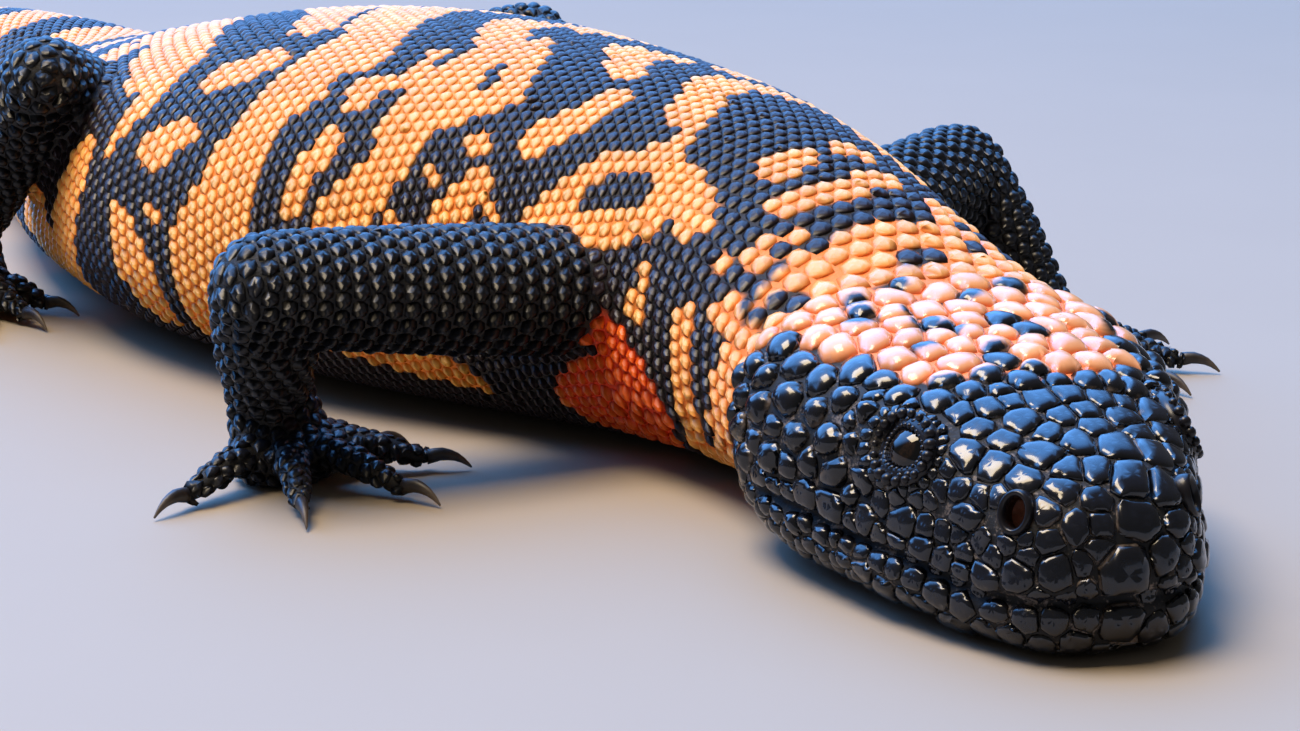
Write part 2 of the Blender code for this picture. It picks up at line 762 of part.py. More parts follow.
def build_foot(name, foot):
    """Palm or sole with its five digits and claws as one body with flats on the floor."""
    limb = LIMBS[foot["limb"]]
    bend, end = Vector(limb["bend"]), Vector(limb["end"])
    down = (end - bend).normalized()
    wrist = end + down * JOINT_GAP
    half_width, half_height, length = foot["palm"]
    heading = math.radians(foot["heading"])
    ahead = Vector((math.cos(heading), math.sin(heading), 0.0))
    across = Vector((-ahead.y, ahead.x, 0.0))
    radius = limb["radii"][2]
    middle = Vector((wrist.x, wrist.y, half_height)) + ahead * 3.0
    bm = bmesh.new()
    rings = []
    sides = 10
    square = down.cross(across).normalized()
    if square.dot(ahead) < 0:
        square = -square
    level = square.cross(down).normalized()
    if level.dot(across) < 0:
        level = -level
    for t in (0.0, 0.35, 0.7, 1.0):
        ring = []
        for k in range(sides):
            a = 2 * math.pi * k / sides
            top = wrist + (level * math.cos(a) + square * math.sin(a)) * radius
            low = middle + across * math.cos(a) * half_width + ahead * math.sin(a) * length
            low.z = 2.2 if t < 1.0 else -0.8
            share = min(t / 0.7, 1.0)
            point = top.lerp(low, share)
            if t == 1.0:
                point = Vector((low.x, low.y, -0.8))
                point = middle.lerp(point, 0.9)
                point.z = -0.8
            ring.append(bm.verts.new(point * MM))
        rings.append(ring)
    skin_rings(bm, rings)
    item = make_object(name, bm, "skin_black")
    for turn, reach in foot["digits"]:
        a = heading + math.radians(turn)
        way = Vector((math.cos(a), math.sin(a), 0.0))
        start = middle + way * (half_width - 3.2)
        start.z = 3.6
        tip = middle + way * reach
        tip.z = 1.6
        line, sizes = digit_points(start, tip)
        bm = bmesh.new()
        skin_rings(bm, tube_rings(bm, line, sizes, DIGIT_SIDES, False))
        digit = make_object("digit", bm, "skin_black")
        apply_boolean(item, digit, "UNION")
    flatten_floor(item)
    keep_largest(item)
    shade_smooth(item, math.radians(40.0))


def flatten_floor(item):
    """Cut an object off at the floor and close it with a flat."""
    bm = bmesh.new()
    bm.from_mesh(item.data)
    cut = bmesh.ops.bisect_plane(
        bm, geom=bm.verts[:] + bm.edges[:] + bm.faces[:], dist=1e-6,
        plane_co=(0.0, 0.0, 0.0), plane_no=(0.0, 0.0, -1.0), clear_outer=True,
    )
    edges = [e for e in cut["geom_cut"] if isinstance(e, bmesh.types.BMEdge)]
    bmesh.ops.holes_fill(bm, edges=edges, sides=0)
    bmesh.ops.recalc_face_normals(bm, faces=bm.faces[:])
    bm.to_mesh(item.data)
    bm.free()


def build_limbs():
    """Two lengths of each limb, cut clear of the trunk and of each other."""
    names = {
        "right_arm": ("right_upper_arm", "right_forearm"),
        "left_arm": ("left_upper_arm", "left_forearm"),
        "right_leg": ("right_thigh", "right_shank"),
        "left_leg": ("left_thigh", "left_shank"),
    }
    for key, limb in LIMBS.items():
        root, bend, end = (Vector(limb[part]) for part in ("root", "bend", "end"))
        r0, r1, r2 = limb["radii"]
        upper, lower = names[key]
        thick = (r0, 0.5 * (r0 + r1) + 0.4, r1)
        limb_length(upper, root, bend, thick, None, [trunk_cutter()])
        cutter = limb_cutter(root, bend, thick, JOINT_GAP + LIMB_BEAD_RISE)
        thin = (r1 - 0.6, 0.5 * (r1 + r2) + 0.2, r2)
        cutters = [cutter, trunk_cutter()] if key == "right_leg" else [cutter]
        limb_length(lower, bend, end, thin, root, cutters)


def main():
    """Build every node of the animal."""
    clear_scene()
    build_trunk()
    build_head()
    build_limbs()
    for name, foot in FEET.items():
        build_foot(name, foot)


main()
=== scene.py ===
"""Looks of a gila monster, a still life-size model of an adult at rest on its belly.

Lengths are millimetres until a mesh is made. +X runs forward along the trunk, +Y is the
animal's left, +Z is up and the floor is z = 0. One skin covers the whole animal, and the
beads, plates and granules are closed domes that stand on it.
"""
import logging
import math
from dataclasses import dataclass, field
from enum import Enum
from typing import Callable, Dict, List, Optional, Sequence, Tuple

import bmesh
import bpy
import numpy as np
from bmesh.types import BMesh, BMFace
from bpy.types import Material, Mesh, NodeSocket, Object, World
from mathutils import Matrix, Vector
from mathutils.bvhtree import BVHTree
from mathutils.kdtree import KDTree


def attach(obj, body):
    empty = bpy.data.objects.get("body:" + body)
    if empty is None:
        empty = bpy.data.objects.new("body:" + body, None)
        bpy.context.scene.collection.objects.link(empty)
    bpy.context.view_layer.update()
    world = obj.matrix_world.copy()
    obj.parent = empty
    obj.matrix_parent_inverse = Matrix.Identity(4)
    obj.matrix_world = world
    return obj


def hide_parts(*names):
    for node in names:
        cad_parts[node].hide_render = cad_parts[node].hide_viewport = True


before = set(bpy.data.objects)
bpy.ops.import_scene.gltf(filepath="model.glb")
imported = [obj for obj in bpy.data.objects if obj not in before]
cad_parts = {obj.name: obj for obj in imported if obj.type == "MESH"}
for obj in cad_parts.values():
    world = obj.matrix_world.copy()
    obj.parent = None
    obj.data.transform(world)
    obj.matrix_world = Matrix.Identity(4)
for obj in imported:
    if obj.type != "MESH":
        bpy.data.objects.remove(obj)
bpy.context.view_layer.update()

MM = 0.001
UP = np.array([0.0, 0.0, 1.0])
LOG = logging.getLogger("gila_monster")
Array = np.ndarray
Pair = Tuple[float, float]
Triple = Tuple[float, float, float]
# place, outward, lengthwise and upward direction
Frame = Tuple[Array, Array, Array, Array]


def smoothstep(low: float, high: float, value: Array) -> Array:
    """Ease from 0 at low to 1 at high."""
    share = np.clip((value - low) / (high - low), 0.0, 1.0)
    return share * share * (3.0 - 2.0 * share)


def unit(vectors: Array) -> Array:
    """Scale each vector to length one."""
    return vectors / np.maximum(np.linalg.norm(vectors, axis=-1, keepdims=True), 1e-9)


def circle(count: int, shift: float = 0.0) -> Array:
    """Equal turns round a full circle, moved on by a share of a turn."""
    return 2.0 * np.pi * (np.arange(count) + shift) / count


def tree_of(points: Array) -> KDTree:
    """Search tree of points."""
    tree = KDTree(len(points))
    for k, point in enumerate(points.tolist()):
        tree.insert(point, k)
    tree.balance()
    return tree


def blend_rows(rows: Array, keys: Array) -> Array:
    """Interpolate rows of (key, value, ...) smoothly.

    Args:
        rows: One row for each station, with the key first.
        keys: Keys to read the values at.

    Returns:
        One row of values for each key.
    """
    stations, values = rows[:, 0], rows[:, 1:]
    last = len(rows) - 1
    before = np.maximum(np.arange(last + 1) - 1, 0)
    after = np.minimum(np.arange(last + 1) + 1, last)
    slopes = (values[after] - values[before]) / (stations[after] - stations[before])[:, None]
    keys = np.clip(np.atleast_1d(keys), stations[0], stations[last])
    low = np.clip(np.searchsorted(stations, keys, side="right") - 1, 0, last - 1)
    span = stations[low + 1] - stations[low]
    t = ((keys - stations[low]) / span)[:, None]
    span = span[:, None]
    return (
        values[low] * (2 * t**3 - 3 * t**2 + 1)
        + slopes[low] * span * (t**3 - 2 * t**2 + t)
        + values[low + 1] * (3 * t**2 - 2 * t**3)
        + slopes[low + 1] * span * (t**3 - t**2)
    )


class ValueNoise:
    """Smooth seeded noise in space, from -1 to 1."""

    cells = 32

    def __init__(self, seed: int, size: float) -> None:
        """Fill a lattice with seeded values, size millimetres apart."""
        self.lattice = np.random.default_rng(seed).uniform(-1.0, 1.0, (self.cells,) * 3)
        self.size = size

    def __call__(self, points: Array) -> Array:
        """Read the noise at points."""
        scaled = points / self.size
        base = np.floor(scaled).astype(int)
        t = scaled - base
        t = t * t * (3.0 - 2.0 * t)
        total = np.zeros(len(points))
        for step in np.ndindex(2, 2, 2):
            share = np.where(step, t, 1.0 - t).prod(axis=1)
            total += share * self.lattice[tuple(((base + step) % self.cells).T)]
        return total


# ----- shape of the animal


@dataclass
class Survey:
    """Where points lie on tail, trunk and head: reach, distance round and gap."""

    points: Array
    reach: Array
    arc: Array
    gap: Array
    half: Array

    @property
    def low(self) -> Array:
        """Share of the way round from the top line to the bottom line."""
        return np.abs(self.arc) / self.half


@dataclass
class Spine:
    """Tail, trunk and head as one run of cross sections."""

    # x, y, height of the widest line, half width, rise above it, drop below it
    body: Tuple[Tuple[float, ...], ...] = (
        (-205.0, 52.0, 6.5, 2.4, 2.4, 2.4), (-201.0, 49.2, 7.6, 6.4, 6.4, 6.6),
        (-191.0, 43.0, 9.0, 9.2, 9.2, 9.4), (-160.0, 25.5, 12.0, 12.8, 12.4, 12.5),
        (-124.0, 12.5, 14.2, 15.2, 15.2, 14.8), (-94.0, 8.0, 15.0, 16.8, 16.4, 15.6),
        (-72.0, 5.5, 15.4, 21.0, 16.4, 16.0), (-50.0, 1.0, 17.0, 27.0, 17.6, 17.8),
        (-22.0, -3.5, 19.0, 32.5, 21.5, 20.0), (10.0, -5.0, 20.5, 38.0, 25.5, 21.6),
        (42.0, -2.0, 21.0, 37.5, 26.6, 22.0), (74.0, 1.5, 20.5, 30.0, 25.0, 21.0),
        (97.0, 1.0, 20.0, 24.5, 22.4, 19.4), (118.0, -2.4, 18.5, 21.4, 17.6, 17.2),
        (133.8, -5.6, 16.4, 22.0, 13.4, 15.2),
    )
    # distance back from the snout, half width, crown height, throat height
    head: Tuple[Tuple[float, ...], ...] = (
        (0.0, 5.4, 13.2, 2.8), (1.2, 8.4, 16.2, 1.2), (5.0, 11.7, 19.0, 0.4),
        (12.0, 15.1, 21.4, 0.0), (20.0, 18.5, 24.3, 0.0), (30.0, 21.7, 26.2, 0.0),
        (40.0, 24.3, 27.2, 0.2), (48.0, 24.6, 28.4, 0.8), (54.0, 22.2, 29.8, 1.4),
    )
    # distance back and height of the line of the mouth
    mouth: Tuple[Tuple[float, ...], ...] = (
        (0.0, 7.0), (5.0, 6.6), (11.0, 7.0), (17.0, 8.0), (22.0, 8.2),
        (28.0, 8.6), (35.0, 9.0), (43.0, 9.1), (54.0, 9.2),
    )
    snout_tip: Pair = (184.5, -24.1)
    head_turn: float = math.radians(-20.0)
    head_length: float = 54.0
    upper_power: float = 2.15
    lower_power: float = 2.7
    head_power: float = 2.5
    jaw_power: float = 4.0
    throat_power: float = 2.9
    throat_start: float = 36.0
    brow_rise: float = 1.1
    brow_back: float = 20.0
    brow_reach: float = 7.5
    brow_turn: float = math.radians(52.0)
    # depth of the coat over the skin, and the least height of the skin
    depth: float = 0.35
    sole: float = 0.25
    steps: int = 240

    def __post_init__(self) -> None:
        """Work out lengths, directions and the tables that survey() reads."""
        rows, reach = [], 0.0
        for k, row in enumerate(self.body):
            if k:
                reach += math.hypot(row[0] - self.body[k - 1][0], row[1] - self.body[k - 1][1])
            rows.append((reach, *row))
        self.rows = np.array(rows)
        self.length = reach
        self.head_rows = np.array(self.head)
        self.mouth_rows = np.array(self.mouth)
        self.ahead = np.array([math.cos(self.head_turn), math.sin(self.head_turn), 0.0])
        self.left = np.array([-self.ahead[1], self.ahead[0], 0.0])
        self.base = np.array([*self.snout_tip, 0.0])
        self.angles = circle(self.steps)
        self.total = self.length + self.head_length
        self.table_reach = np.arange(0.0, self.total + 0.01, 1.0)
        self.outlines = np.array([self.outline(reach) for reach in self.table_reach])
        self.ways = np.array([self.forward(reach) for reach in self.table_reach])
        onward = np.roll(self.outlines, -1, axis=1) - np.roll(self.outlines, 1, axis=1)
        self.tangents = unit(onward)
        self.arcs = np.array([self.arc_lengths(ring) for ring in self.outlines])
        self.tree = tree_of(self.outlines.reshape(-1, 3))

    def forward(self, reach: float) -> Array:
        """Direction towards the snout at a distance from the tail tip."""
        return self.ahead if reach > self.length else self.frame(reach)[1]

    def frame(self, reach: float) -> Tuple[Array, Array, Array, Array]:
        """Centre, forward, left and sizes of the body section at a distance from the tail tip."""
        here = blend_rows(self.rows, reach)[0]
        front = blend_rows(self.rows, min(reach + 1.5, self.length))[0]
        back = blend_rows(self.rows, max(reach - 1.5, 0.0))[0]
        forward = unit(np.array([front[0] - back[0], front[1] - back[1], 0.0]))
        share = np.clip((reach - self.length + 6.0) / 6.0, 0.0, 1.0)
        forward = unit(forward * (1.0 - share) + self.ahead * share)
        return here[:3], forward, np.array([-forward[1], forward[0], 0.0]), here[3:]

    def outline(self, reach: float) -> Array:
        """Closed outline of the section at a distance from the tail tip, top first, left next."""
        if reach > self.length:
            return self.head_outline(self.total - reach)
        centre, _, left, (width, rise, drop) = self.frame(reach)
        width, rise, drop = width - self.depth, rise - self.depth, drop - self.depth * 0.2
        c, s = np.cos(self.angles), np.sin(self.angles)
        power = np.where(c >= 0, 2.0 / self.upper_power, 2.0 / self.lower_power)
        side = width * np.sign(s) * np.abs(s) ** power
        lift = np.where(c >= 0, rise, drop) * np.sign(c) * np.abs(c) ** power
        ring = centre + np.outer(side, left) + np.outer(lift, UP)
        ring[:, 2] = np.maximum(ring[:, 2], self.sole)
        return ring

    def head_outline(self, back: float) -> Array:
        """Closed outline of the head at a distance behind the snout."""
        width, top, bottom = blend_rows(self.head_rows, back)[0]
        middle, half = 0.5 * (top + bottom), 0.5 * (top - bottom) - self.depth * 0.8
        width -= self.depth
        share = (back - self.throat_start) / (self.head_length - self.throat_start)
        share = min(max(share, 0.0), 1.0)
        lower = self.jaw_power + (self.throat_power - self.jaw_power) * share
        c, s = np.cos(self.angles), np.sin(self.angles)
        power = np.where(c >= 0, 2.0 / self.head_power, 2.0 / lower)
        side = width * np.sign(s) * np.abs(s) ** power
        lift = middle + half * np.sign(c) * np.abs(c) ** power
        brow = self.brow_rise * math.exp(-(((back - self.brow_back) / self.brow_reach) ** 2))
        turn = np.minimum(self.angles, 2.0 * np.pi - self.angles)
        brow = 0.7 * brow * np.exp(-(((turn - self.brow_turn) / 0.22) ** 2))
        side += np.sign(s) * brow
        lift += brow
        ring = self.head_place(np.full(self.steps, back), side, lift)
        ring[:, 2] = np.maximum(ring[:, 2], self.sole)
        return ring

    def head_place(self, back: Array, side: Array, height: Array) -> Array:
        """Points of the head from distance behind the snout, side and height."""
        back, side, height = (np.atleast_1d(value) for value in (back, side, height))
        return (self.base - np.outer(back, self.ahead) + np.outer(side, self.left)
                + np.outer(height, UP))

    def head_coordinates(self, points: Array) -> Tuple[Array, Array, Array]:
        """Distance behind the snout, side and height of points."""
        offset = points - self.base
        return -(offset @ self.ahead), offset @ self.left, points[:, 2]

    def mouth_height(self, back: Array) -> Array:
        """Height of the line of the mouth."""
        return blend_rows(self.mouth_rows, back)[:, 0]

    def arc_lengths(self, ring: Array) -> Array:
        """Signed distance from the top line at each point of a ring, left positive."""
        half = self.steps // 2
        step = np.linalg.norm(np.roll(ring, -1, axis=0) - ring, axis=1)
        left = np.concatenate([[0.0], np.cumsum(step[:half])])
        right = np.concatenate([[0.0], np.cumsum(step[::-1][:half])])
        arcs = np.zeros(self.steps)
        arcs[: half + 1] = left
        arcs[half + 1:] = -right[1:half][::-1]
        return arcs

    def survey(self, points: Array) -> Survey:
        """Read the place of points near the surface from the nearest outline point."""
        found = np.array([self.tree.find(point)[1:] for point in points.tolist()])
        index = found[:, 0].astype(int)
        row, step = index // self.steps, index % self.steps
        offset = points - self.outlines[row, step]
        reach = self.table_reach[row] + (offset * self.ways[row]).sum(axis=1)
        arc = self.arcs[row, step] + (offset * self.tangents[row, step]).sum(axis=1)
        return Survey(points, reach, arc, found[:, 1], self.half_round(reach))

    def half_round(self, reach: Array) -> Array:
        """Distance from the top line to the bottom line at each reach."""
        row = np.clip(np.round(reach).astype(int), 0, len(self.table_reach) - 1)
        return self.arcs[row].max(axis=1)

    def row_points(self, reach: float, arcs: Array) -> Tuple[Array, Array]:
        """Points of one row and the forward direction there."""
        ring = self.outline(reach)
        known = self.arc_lengths(ring)
        order = np.argsort(known)
        points = np.stack([np.interp(arcs, known[order], axis) for axis in ring[order].T], axis=1)
        return points, np.tile(self.forward(reach), (len(points), 1))


@dataclass
class Limb:
    """One limb: root inside the trunk, elbow or knee, and wrist or ankle."""

    name: str
    root: Triple
    bend: Triple
    end: Triple
    radii: Triple
    heading: float
    digits: Tuple[Pair, ...]
    palm: Triple
    depth: float = 0.3
    # digits: share of the length, height and radius with its coat
    arch: Tuple[Triple, ...] = (
        (0.0, 3.9, 2.7), (0.25, 4.3, 2.75), (0.5, 3.9, 2.55), (0.72, 3.0, 2.35),
        (0.9, 2.2, 2.05), (1.0, 1.9, 1.7),
    )
    digit_coat: float = 0.7

    def lengths(self) -> List[Tuple[Array, Array, float, float]]:
        """Upper and lower length as start, stop and the two radii."""
        root, bend, end = (np.array(point) for point in (self.root, self.bend, self.end))
        first, middle, last = self.radii
        return [(root, bend, first, middle), (bend, end, middle - 0.2, last)]

    def palm_middle(self) -> Array:
        """Middle of the palm or sole."""
        middle = np.array(self.end) + self.direction() * 3.0
        middle[2] = self.palm[1]
        return middle

    def direction(self, turn: float = 0.0) -> Array:
        """Level direction at a turn in degrees from the heading of the foot."""
        angle = math.radians(self.heading + turn)
        return np.array([math.cos(angle), math.sin(angle), 0.0])

    def digit_path(self, turn: float, reach: float) -> Tuple[Array, Array]:
        """Arched middle line of a digit and its radii."""
        way = self.direction(turn)
        middle = self.palm_middle()
        start = middle + way * (self.palm[0] - 4.4)
        tip = middle + way * reach
        path, radii = [], []
        for share, height, radius in self.arch:
            point = start + (tip - start) * share
            point[2] = height
            path.append(point)
            radii.append(radius - self.digit_coat)
        return np.array(path), np.array(radii)


def tube_rings(path: Array, radii: Array, segments: int) -> List[Array]:
    """Rings square to a path, with both ends rounded over.

    Args:
        path: Middle line.
        radii: One radius for each point of it.
        segments: Points in a ring.

    Returns:
        The rings in order.
    """
    ways = unit(np.gradient(path, axis=0))
    cap = (0.5, 0.95, 1.35)
    stops = [(path[0] - ways[0] * radii[0] * math.sin(a), radii[0] * math.cos(a), ways[0])
             for a in cap[::-1]]
    stops += [(place, radius, way) for place, radius, way in zip(path, radii, ways)]
    stops += [(path[-1] + ways[-1] * radii[-1] * math.sin(a), radii[-1] * math.cos(a), ways[-1])
              for a in cap]
    turns = circle(segments)
    side = unit(np.cross(ways[0], UP if abs(ways[0][2]) < 0.9 else np.array([1.0, 0.0, 0.0])))
    rings = []
    for place, radius, way in stops:
        side = unit(side - way * (side @ way))
        rise = np.cross(side, way)
        rings.append(place + radius * (np.outer(np.cos(turns), side)
                                       + np.outer(np.sin(turns), rise)))
    return rings


def add_tube(bm: BMesh, rings: Sequence[Array], hoop: bool = False) -> None:
    """Bridge rings of equal length into a closed shape.

    Args:
        bm: Mesh under construction.
        rings: Points of each ring.
        hoop: Join the last ring to the first one, where a tube has both ends filled.
    """
    first, previous = [], []
    for ring in rings:
        made = bmesh.ops.create_circle(bm, segments=len(ring), radius=1.0)["verts"]
        for vert, place in zip(made, ring):
            vert.co = Vector(place) * MM
        edges = list({edge for vert in made for edge in vert.link_edges})
        if previous:
            bmesh.ops.bridge_loops(bm, edges=previous + edges)
        first = first or edges
        previous = edges
    if hoop:
        bmesh.ops.bridge_loops(bm, edges=previous + first)
    else:
        bmesh.ops.holes_fill(bm, edges=first + previous, sides=0)


def linked(name: str, data: object) -> Object:
    """Put a mesh, light or camera into the scene as an object at the origin."""
    item = bpy.data.objects.new(name, data)
    bpy.context.scene.collection.objects.link(item)
    return item


def make_object(name: str, bm: BMesh, smooth: bool = True) -> Object:
    """Turn a mesh under construction into a named object at the origin."""
    mesh = bpy.data.meshes.new(name)
    bm.to_mesh(mesh)
    bm.free()
    for polygon in mesh.polygons:
        polygon.use_smooth = smooth
    return linked(name, mesh)


def read_points(mesh: Mesh, key: str) -> Array:
    """Places or normals of a mesh's points, one row each."""
    values = np.zeros(len(mesh.vertices) * 3)
    mesh.vertices.foreach_get(key, values)
    return values.reshape(-1, 3)


def store(mesh: Mesh, name: str, values: Array) -> None:
    """Keep one number for each point of a mesh."""
    mesh.attributes.new(name, "FLOAT", "POINT").data.foreach_set("value", np.ravel(values))


def store_tint(mesh: Mesh, colours: Array) -> None:
    """Keep one colour for each point of a mesh."""
    mesh.attributes.new("tint", "FLOAT_COLOR", "POINT").data.foreach_set("color", colours.ravel())


@dataclass
class Openings:
    """Places of the eyes, nostrils and ears on the head, measured from the snout."""

    eye: Triple = (19.7, 16.1, 19.1)
    eye_lean: Pair = (0.25, 0.55)
    eye_radius: float = 3.6
    eye_depth: float = 3.0
    eye_gap: Pair = (2.8, 2.2)
    lid_reach: Pair = (4.7, 3.9)
    nostril: Triple = (4.8, 9.9, 15.7)
    nostril_gap: Pair = (1.15, 1.6)
    nostril_size: Pair = (1.9, 2.4)
    nostril_colour: Triple = (0.75, 0.42, 0.30)
    ear: Triple = (48.5, 23.6, 13.2)
    ear_size: Pair = (1.0, 3.0)

    def kinds(self) -> Tuple[Tuple[Callable, Pair, Pair, float, float], ...]:
        """Frame, rim, hollow, depth of the hollow and reach of fine skin of each kind."""
        return (
            (self.eye_frame, self.lid_reach, (4.1, 3.3), 3.4, 6.0),
            (self.nostril_frame, self.nostril_size, (1.7, 2.15), 3.0, 4.0),
            (self.ear_frame, self.ear_size, (1.5, 3.6), 2.2, 4.5),
        )

    def eye_frame(self, spine: Spine, side: float) -> Frame:
        """Place on the head, outward, lengthwise and upward direction of an eye."""
        back, out, height = self.eye
        place = spine.head_place(back, side * out, height)[0]
        outward = unit(spine.left * side + spine.ahead * self.eye_lean[0] + UP * self.eye_lean[1])
        along = unit(spine.ahead - outward * (spine.ahead @ outward))
        return place, outward, along, unit(np.cross(outward, along)) * side

    def nostril_frame(self, spine: Spine, side: float) -> Frame:
        """Place, outward, crosswise and upward direction of a nostril."""
        back, out, height = self.nostril
        place = spine.head_place(back, side * out, height)[0]
        outward = unit(spine.left * side * 0.75 + spine.ahead * 0.6 + UP * 0.3)
        rise = unit(UP - outward * outward[2])
        return place, outward, np.cross(rise, outward), rise

    def ear_frame(self, spine: Spine, side: float) -> Frame:
        """Place, outward, lengthwise and upward direction of an ear slit."""
        back, out, height = self.ear
        place = spine.head_place(back, side * out, height)[0]
        return place, unit(spine.left * side), spine.ahead, UP


class Skin:
    """One closed skin over the whole animal, fused from lofted lengths."""

    voxel = 1.0
    loft_step = 2.5
    loft_segments = 96
    limb_segments = 28
    digit_segments = 18
    floor_gap = 0.12

    def __init__(self, spine: Spine, limbs: Sequence[Limb], openings: Openings) -> None:
        """Loft, fuse and sculpt the skin and make it ready for placing scales."""
        self.spine, self.limbs, self.openings = spine, limbs, openings
        source = make_object("skin_source", self.lofts())
        self.item = self.fused(source)
        bpy.data.objects.remove(source)
        self.refine()
        self.sculpt()
        self.index()

    def lofts(self) -> BMesh:
        """Tail, trunk, head, limbs, palms and digits as closed tubes that overlap."""
        bm = bmesh.new()
        spine = self.spine
        stops = list(np.arange(0.0, spine.total - 8.0, self.loft_step))
        stops += [spine.total - back for back in (7.0, 5.0, 3.5, 2.3, 1.4, 0.8, 0.4)]
        places = np.arange(self.loft_segments) * (spine.steps / self.loft_segments)
        low = places.astype(int)
        share = (places - low)[:, None]
        rings = []
        for reach in stops:
            ring = spine.outline(reach)
            rings.append(ring[low] * (1 - share) + ring[(low + 1) % spine.steps] * share)
        front = rings[-1]
        middle = front.mean(axis=0)
        for share, ahead in ((0.82, 0.45), (0.5, 0.75)):
            rings.append(middle + (front - middle) * share + spine.ahead * ahead)
        tail = rings[0]
        rings.insert(0, tail.mean(axis=0) + (tail - tail.mean(axis=0)) * 0.5
                     - spine.frame(0.0)[1] * 0.8)
        add_tube(bm, rings)
        for limb in self.limbs:
            for start, stop, first, last in limb.lengths():
                shares = np.linspace(0.0, 1.0, 7)
                path = start + np.outer(shares, stop - start)
                belly = 0.5 * np.sin(np.pi * shares)
                radii = first + (last - first) * shares + belly - limb.depth
                add_tube(bm, tube_rings(path, radii, self.limb_segments))
            add_tube(bm, self.palm_rings(limb))
            for turn, reach in limb.digits:
                path, radii = limb.digit_path(turn, reach)
                add_tube(bm, tube_rings(path, radii, self.digit_segments))
        bmesh.ops.recalc_face_normals(bm, faces=bm.faces)
        return bm

    def palm_rings(self, limb: Limb) -> List[Array]:
        """Rings from the wrist down to a palm that lies on the floor."""
        half_width, _, length = limb.palm
        ahead = limb.direction()
        across = np.array([-ahead[1], ahead[0], 0.0])
        middle = limb.palm_middle()
        down = unit(np.array(limb.end) - np.array(limb.bend))
        side = unit(across - down * (across @ down))
        front = unit(ahead - down * (ahead @ down) - side * (ahead @ side))
        turns = circle(self.limb_segments)
        wrist = limb.radii[2] - limb.depth
        top = np.array(limb.end) - down * 2.0
        upper = top + wrist * (np.outer(np.cos(turns), side) + np.outer(np.sin(turns), front))
        rings = []
        for share, height, swell in (
            (0.0, None, 1.0), (0.35, None, 1.0), (0.7, 4.6, 1.0), (1.0, 2.6, 1.0),
            (1.0, 1.0, 0.96), (1.0, 0.3, 0.8),
        ):
            low = middle + (np.outer(np.cos(turns), across) * (half_width - 0.6)
                            + np.outer(np.sin(turns), ahead) * (length - 1.0)) * swell
            ring = upper * (1.0 - share) + low * share
            if height is None:
                ring[:, 2] = upper[:, 2] * (1.0 - share) + 5.2 * share
            else:
                ring[:, 2] = height
            rings.append(ring)
        return rings

    def fused(self, source: Object) -> Object:
        """Fuse overlapping lofts into one surface and smooth its joins."""
        remesh = source.modifiers.new("fuse", "REMESH")
        remesh.mode = "VOXEL"
        remesh.voxel_size = self.voxel * MM
        remesh.use_smooth_shade = True
        ease = source.modifiers.new("ease", "SMOOTH")
        ease.factor = 0.5
        ease.iterations = 4
        graph = bpy.context.evaluated_depsgraph_get()
        mesh = bpy.data.meshes.new_from_object(source.evaluated_get(graph))
        mesh.name = "skin"
        return linked("skin", mesh)

    def refine(self) -> None:
        """Halve the faces round the eyes, nostrils, ears and the line of the mouth."""
        mesh = self.item.data
        bm = bmesh.new()
        bm.from_mesh(mesh)
        centres = np.array([face.calc_center_median() for face in bm.faces]) / MM
        near = np.zeros(len(centres), bool)
        for side in (-1.0, 1.0):
            for frame_of, *_, reach in self.openings.kinds():
                place = frame_of(self.spine, side)[0]
                near |= np.linalg.norm(centres - place, axis=1) < reach
        back, out, height = self.spine.head_coordinates(centres)
        line = np.abs(height - self.spine.mouth_height(back)) < 1.6
        near |= line & (back < 45.0) & (np.abs(out) < 26.0)
        chosen = [face for face, take in zip(bm.faces, near) if take]
        edges = list({edge for face in chosen for edge in face.edges})
        bmesh.ops.subdivide_edges(bm, edges=edges, cuts=1, use_grid_fill=True)
        bmesh.ops.triangulate(bm, faces=[face for face in bm.faces if len(face.verts) > 4])
        bm.to_mesh(mesh)
        bm.free()

    def sculpt(self) -> None:
        """Shape lips, cheeks and jowls and press in the mouth, eyes, nostrils and ears."""
        mesh, spine = self.item.data, self.spine
        points, normals = read_points(mesh, "co") / MM, read_points(mesh, "normal")
        back, out, height = spine.head_coordinates(points)
        on_head = smoothstep(56.0, 50.0, back) * (np.abs(out) < 27.0)
        line = spine.mouth_height(back)
        apart = height - line
        groove = 1.1 * np.exp(-((apart / 0.75) ** 2)) * smoothstep(45.0, 40.0, back)
        jowl = 0.8 * np.exp(-(((back - 20.0) / 11.0) ** 2)) * np.exp(-(((apart + 2.6) / 1.9) ** 2))
        lip = 0.35 * np.exp(-(((apart - 1.6) / 1.2) ** 2)) * smoothstep(36.0, 20.0, back)
        behind = smoothstep(4.0, 8.0, back) * smoothstep(32.0, 27.0, back)
        cheek = behind * (0.6 * np.exp(-(((apart - 5.4) / 1.0) ** 2))
                          + 0.35 * np.exp(-(((apart - 2.9) / 0.6) ** 2)))
        points += normals * (on_head * (jowl + lip - groove - cheek))[:, None]
        for side in (-1.0, 1.0):
            for frame_of, _, size, depth, _ in self.openings.kinds():
                self.press(points, frame_of(spine, side), size, depth)
        points[:, 2] = np.maximum(points[:, 2], self.floor_gap)
        mesh.vertices.foreach_set("co", (points * MM).ravel())
        mesh.update()

